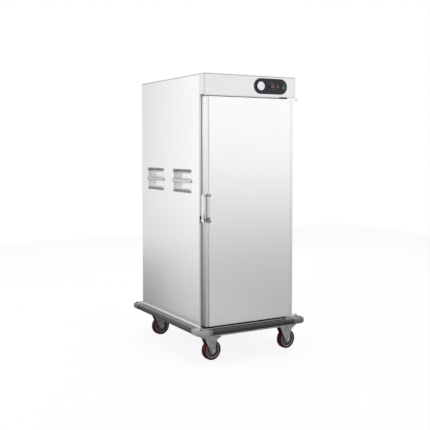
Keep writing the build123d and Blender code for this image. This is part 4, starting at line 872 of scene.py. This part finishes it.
marks = {
    "height": 1716.0, "thickness": 0.06,
    "dial": {"x": 66.0, "face": -463.0, "first": 225.0, "last": -15.0, "steps": 24, "majorEvery": 4, "radius": 25.6,
             "fine": {"length": 2.2, "half": 0.22}, "bold": {"length": 4.0, "half": 0.42},
             "numberRadius": 17.0, "numberSize": 5.0, "numberStep": 20},
    "hub": {"face": -465.0, "profile": [(0, 1.4), (1.6, 1.3), (2.8, 0.9), (3.2, 0.3), (3.2, 0)]},
    "knob": {"x": 145.0, "face": -466.0, "front": -484.0, "first": 225.0, "last": -45.0, "steps": 9, "radius": 21.2,
             "length": 2.6, "half": 0.4, "numberRadius": 27.2, "numberSize": 5.2, "wordSize": 3.6,
             "pointer": {"half": 1.1, "low": 4.0, "high": 13.2, "thickness": 0.3, "bevel": 0.1}},
}


def textMesh(words, size):
    curve = bpy.data.curves.new(words, "FONT")
    curve.body = words
    curve.size = size * millimetre
    curve.align_x = "CENTER"
    curve.align_y = "CENTER"
    curve.resolution_u = 3
    text = addObject(words, curve)
    evaluated = text.evaluated_get(bpy.context.evaluated_depsgraph_get())
    mesh = bpy.data.meshes.new_from_object(evaluated)
    bpy.data.objects.remove(text)
    return mesh


def outward(degrees):
    return Vector((math.cos(math.radians(degrees)), 0, math.sin(math.radians(degrees))))


def spotOn(look, radius, angle):
    face = look["face"] - marks["thickness"] / 2
    return Vector((look["x"], face, marks["height"])) + outward(angle) * radius


def addScale(name, look, angles, low, high, half, finish):
    rows = [(spotOn(look, look["radius"], angle), front, outward(angle).cross(front)) for angle in angles]
    bar = plateMesh(stripOutline(half, low, high), marks["thickness"])
    repeatOn(name, bar, rows, finish, "cabinet")


def addNumbers(name, look, labels, finish):
    # Each label is its words, their size and the angle where they stand.
    numbers = [(textMesh(words, size), frameAt(spotOn(look, look["numberRadius"], angle), front, right))
               for words, size, angle in labels]
    addPiece(name, joined(numbers), finish, "cabinet", smooth=False)


def addDialMarks():
    dial, hub = marks["dial"], marks["hub"]
    angles = evenly(dial["first"], dial["last"], dial["steps"])
    majors = angles[::dial["majorEvery"]]
    minors = [angle for angle in angles if angle not in majors]
    for name, chosen, line in (("Fine", minors, dial["fine"]), ("Bold", majors, dial["bold"])):
        addScale("dialScale" + name, dial, chosen, -line["length"], 0, line["half"], "print")
    labels = [(str(index * dial["numberStep"]), dial["numberSize"], angle) for index, angle in enumerate(majors)]
    addNumbers("dialNumbers", dial, labels, "print")
    place = frameAt((dial["x"], hub["face"], marks["height"]), front, right)
    addPiece("needleHub", placed(turnedMesh(hub["profile"]), place), "black", "needle")


def addKnobMarks():
    knob = marks["knob"]
    angles = evenly(knob["first"], knob["last"], knob["steps"])
    addScale("knobScale", knob, angles, 0, knob["length"], knob["half"], "whitePrint")
    labels = [(str(index), knob["numberSize"], angle) for index, angle in enumerate(angles)]
    labels[0] = ("OFF", knob["wordSize"], angles[0])
    addNumbers("knobNumbers", knob, labels, "whitePrint")
    shape = knob["pointer"]
    outline = stripOutline(shape["half"], shape["low"], shape["high"])
    place = frameAt((knob["x"], knob["front"], marks["height"]), front, outward(knob["first"]).cross(front))
    pointer = placed(plateMesh(outline, shape["thickness"], shape["bevel"]), place)
    addPiece("knobPointer", pointer, "whitePrint", "knob")


addDialMarks()
addKnobMarks()
print("control marks set")


# Studio: white surroundings, a pale floor, soft lamps, and cards that only the shiny surfaces see. The cards make the
# gradients of the side and the door, and were placed for the view of the photograph.

studio = {
    "worldLevel": 0.45,
    "floorSize": 12.0,
    "floorTone": grey(0.60),
    "floorRoughness": 0.85,
    "floorGloss": 0.1,
    "speckle": {"scale": 30.0, "detail": 3.0},
    "speckleRoughness": 0.1,
    "floorWhite": 0.76,
    "floorWhiteInGloss": 0.05,
    "floorGlow": 1.165,
}
white = (1, 1, 1)
lamps = {
    "key": {"place": (-4.6, -2.4, 3.4), "aim": (0, 0, 1.1), "size": (3.0, 3.0), "power": 30},
    "side": {"place": (-3.6, 3.2, 2.3), "aim": (0, 0, 1.2), "size": (2.4, 3.0), "power": 26},
    "front": {"place": (3.6, -5.0, 2.6), "aim": (0, -0.4, 1.3), "size": (3.4, 2.2), "power": 26},
    "doorSheen": {"place": (3.4, -5.4, 1.9), "aim": (0, -0.4, 1.3), "size": (4.4, 2.0), "power": 8.5, "gloss": True},
    "sideSheen": {"place": (-3.7, 4.1, 2.0), "aim": (-0.3, 0, 1.3), "size": (2.4, 3.2), "power": 9.0, "gloss": True},
    "top": {"place": (0.0, 0.0, 4.6), "aim": (0, 0, 0), "size": (4.0, 4.0), "power": 54},
    "back": {"place": (2.8, 3.8, 2.6), "aim": (0, 0, 0.9), "size": (2.6, 2.6), "power": 26},
}
cards = {
    "rearCard": {"place": (-1.15, 4.1, 1.9), "facing": (0, -1, 0), "roll": 0, "size": (2.2, 4.0),
                 "low": 0.76, "high": 0.58},
    "leftCard": {"place": (-4.6, -3.4, 1.3), "facing": (4.6, 3.4, 0), "roll": 0, "size": (0.7, 2.4),
                 "low": 0.03, "high": 0.02},
    "floorDoor": {"place": (0.1, -2.4, 0.004), "facing": (0, 0, 1), "roll": 0, "size": (1.3, 2.6),
                  "low": 0.64, "high": 0.70},
    "floorRear": {"place": (-1.22, 3.85, 0.004), "facing": (0, 0, 1), "roll": 26, "size": (1.8, 6.8),
                  "low": 0.24, "high": 0.27},
    "floorSide": {"place": (-2.84, 3.05, 0.004), "facing": (0, 0, 1), "roll": 26, "size": (1.8, 6.8),
                  "low": 1.50, "high": 0.62},
}
cardWeave = {"noise": {"scale": 4.0, "detail": 2.0}, "middle": 0.5, "share": 0.05}


def seenRays(board):
    kinds = ("Camera", "Glossy", "Transmission")
    return [board.node("ShaderNodeLightPath", output=f"Is {kind} Ray") for kind in kinds]


def addWorld(look):
    world = bpy.data.worlds.new("studio")
    world.use_nodes = True
    world.node_tree.nodes.clear()
    board = Board(world.node_tree)
    camera, glossy, transmission = seenRays(board)
    seen = camera.atLeast(glossy).atLeast(transmission)
    level = look["worldLevel"] + seen * (1 - look["worldLevel"])
    sky = board.node("ShaderNodeBackground", {}, {"Color": colour(white), "Strength": level})
    board.node("ShaderNodeOutputWorld", {}, {"Surface": sky})
    scene.world = world


def addFloor(look):
    # The camera sees the floor mixed with white, and the shiny surfaces see it almost plain.
    mesh = bmesh.new()
    bmesh.ops.create_grid(mesh, x_segments=1, y_segments=1, size=look["floorSize"] / 2)
    floor = addObject("floor", meshData("floor", mesh))
    material, board = newMaterial("floor")
    camera, glossy, transmission = seenRays(board)
    share = camera.atLeast(transmission) * look["floorWhite"]
    share = share.atLeast(glossy * look["floorWhiteInGloss"])
    speckle = board.noise(board.place(), **look["speckle"])
    matt = board.node("ShaderNodeBsdfPrincipled", {}, {
        "Base Color": colour(look["floorTone"]),
        "Roughness": look["floorRoughness"] + speckle * look["speckleRoughness"],
        "Specular IOR Level": look["floorGloss"],
    })
    glow = board.node("ShaderNodeEmission", {}, {"Color": colour(white), "Strength": look["floorGlow"]})
    mixed = board.node("ShaderNodeMixShader", {}, {0: share, 1: matt, 2: glow})
    board.node("ShaderNodeOutputMaterial", {}, {"Surface": mixed})
    floor.data.materials.append(material)


def addCard(name, look):
    # The card's width runs level, facing is the way that it looks, and its grey runs from low to high up its height.
    wide, tall = look["size"]
    mesh = bmesh.new()
    mesh.loops.layers.uv.new("card")
    bmesh.ops.create_grid(mesh, x_segments=1, y_segments=1, size=0.5, calc_uvs=True)
    bmesh.ops.scale(mesh, vec=(wide, tall, 1), verts=mesh.verts)
    turn = Vector(look["facing"]).to_track_quat("Z", "Y").to_matrix().to_4x4()
    turn = turn @ Matrix.Rotation(math.radians(look["roll"]), 4, "Z")
    bmesh.ops.transform(mesh, matrix=Matrix.Translation(look["place"]) @ turn, verts=mesh.verts)
    card = addObject(name, meshData(name, mesh))
    for ray in ("camera", "diffuse", "shadow", "transmission"):
        setattr(card, "visible_" + ray, False)
    material, board = newMaterial(name)
    weave = board.noise(board.place(), **cardWeave["noise"])
    flat = board.node("ShaderNodeTexCoord", output="UV")
    along = board.node("ShaderNodeSeparateXYZ", {}, {0: flat}, output=1)
    share = along + (weave - cardWeave["middle"]) * cardWeave["share"]
    tone = board.blend(share, grey(look["low"]), grey(look["high"]))
    glow = board.node("ShaderNodeEmission", {}, {"Color": tone, "Strength": 1.0})
    board.node("ShaderNodeOutputMaterial", {}, {"Surface": glow})
    card.data.materials.append(material)


def addLamp(name, look):
    data = bpy.data.lights.new(name, "AREA")
    data.shape = "RECTANGLE"
    data.size, data.size_y = look["size"]
    data.energy = look["power"]
    lamp = addObject(name, data)
    lamp.location = look["place"]
    lamp.visible_glossy = look.get("gloss", False)
    lamp.rotation_euler = (Vector(look["aim"]) - Vector(look["place"])).to_track_quat("-Z", "Y").to_euler()


addWorld(studio)
addFloor(studio)
for lampName, lampLook in lamps.items():
    addLamp(lampName, lampLook)
for cardName, cardLook in cards.items():
    addCard(cardName, cardLook)
print("studio set")
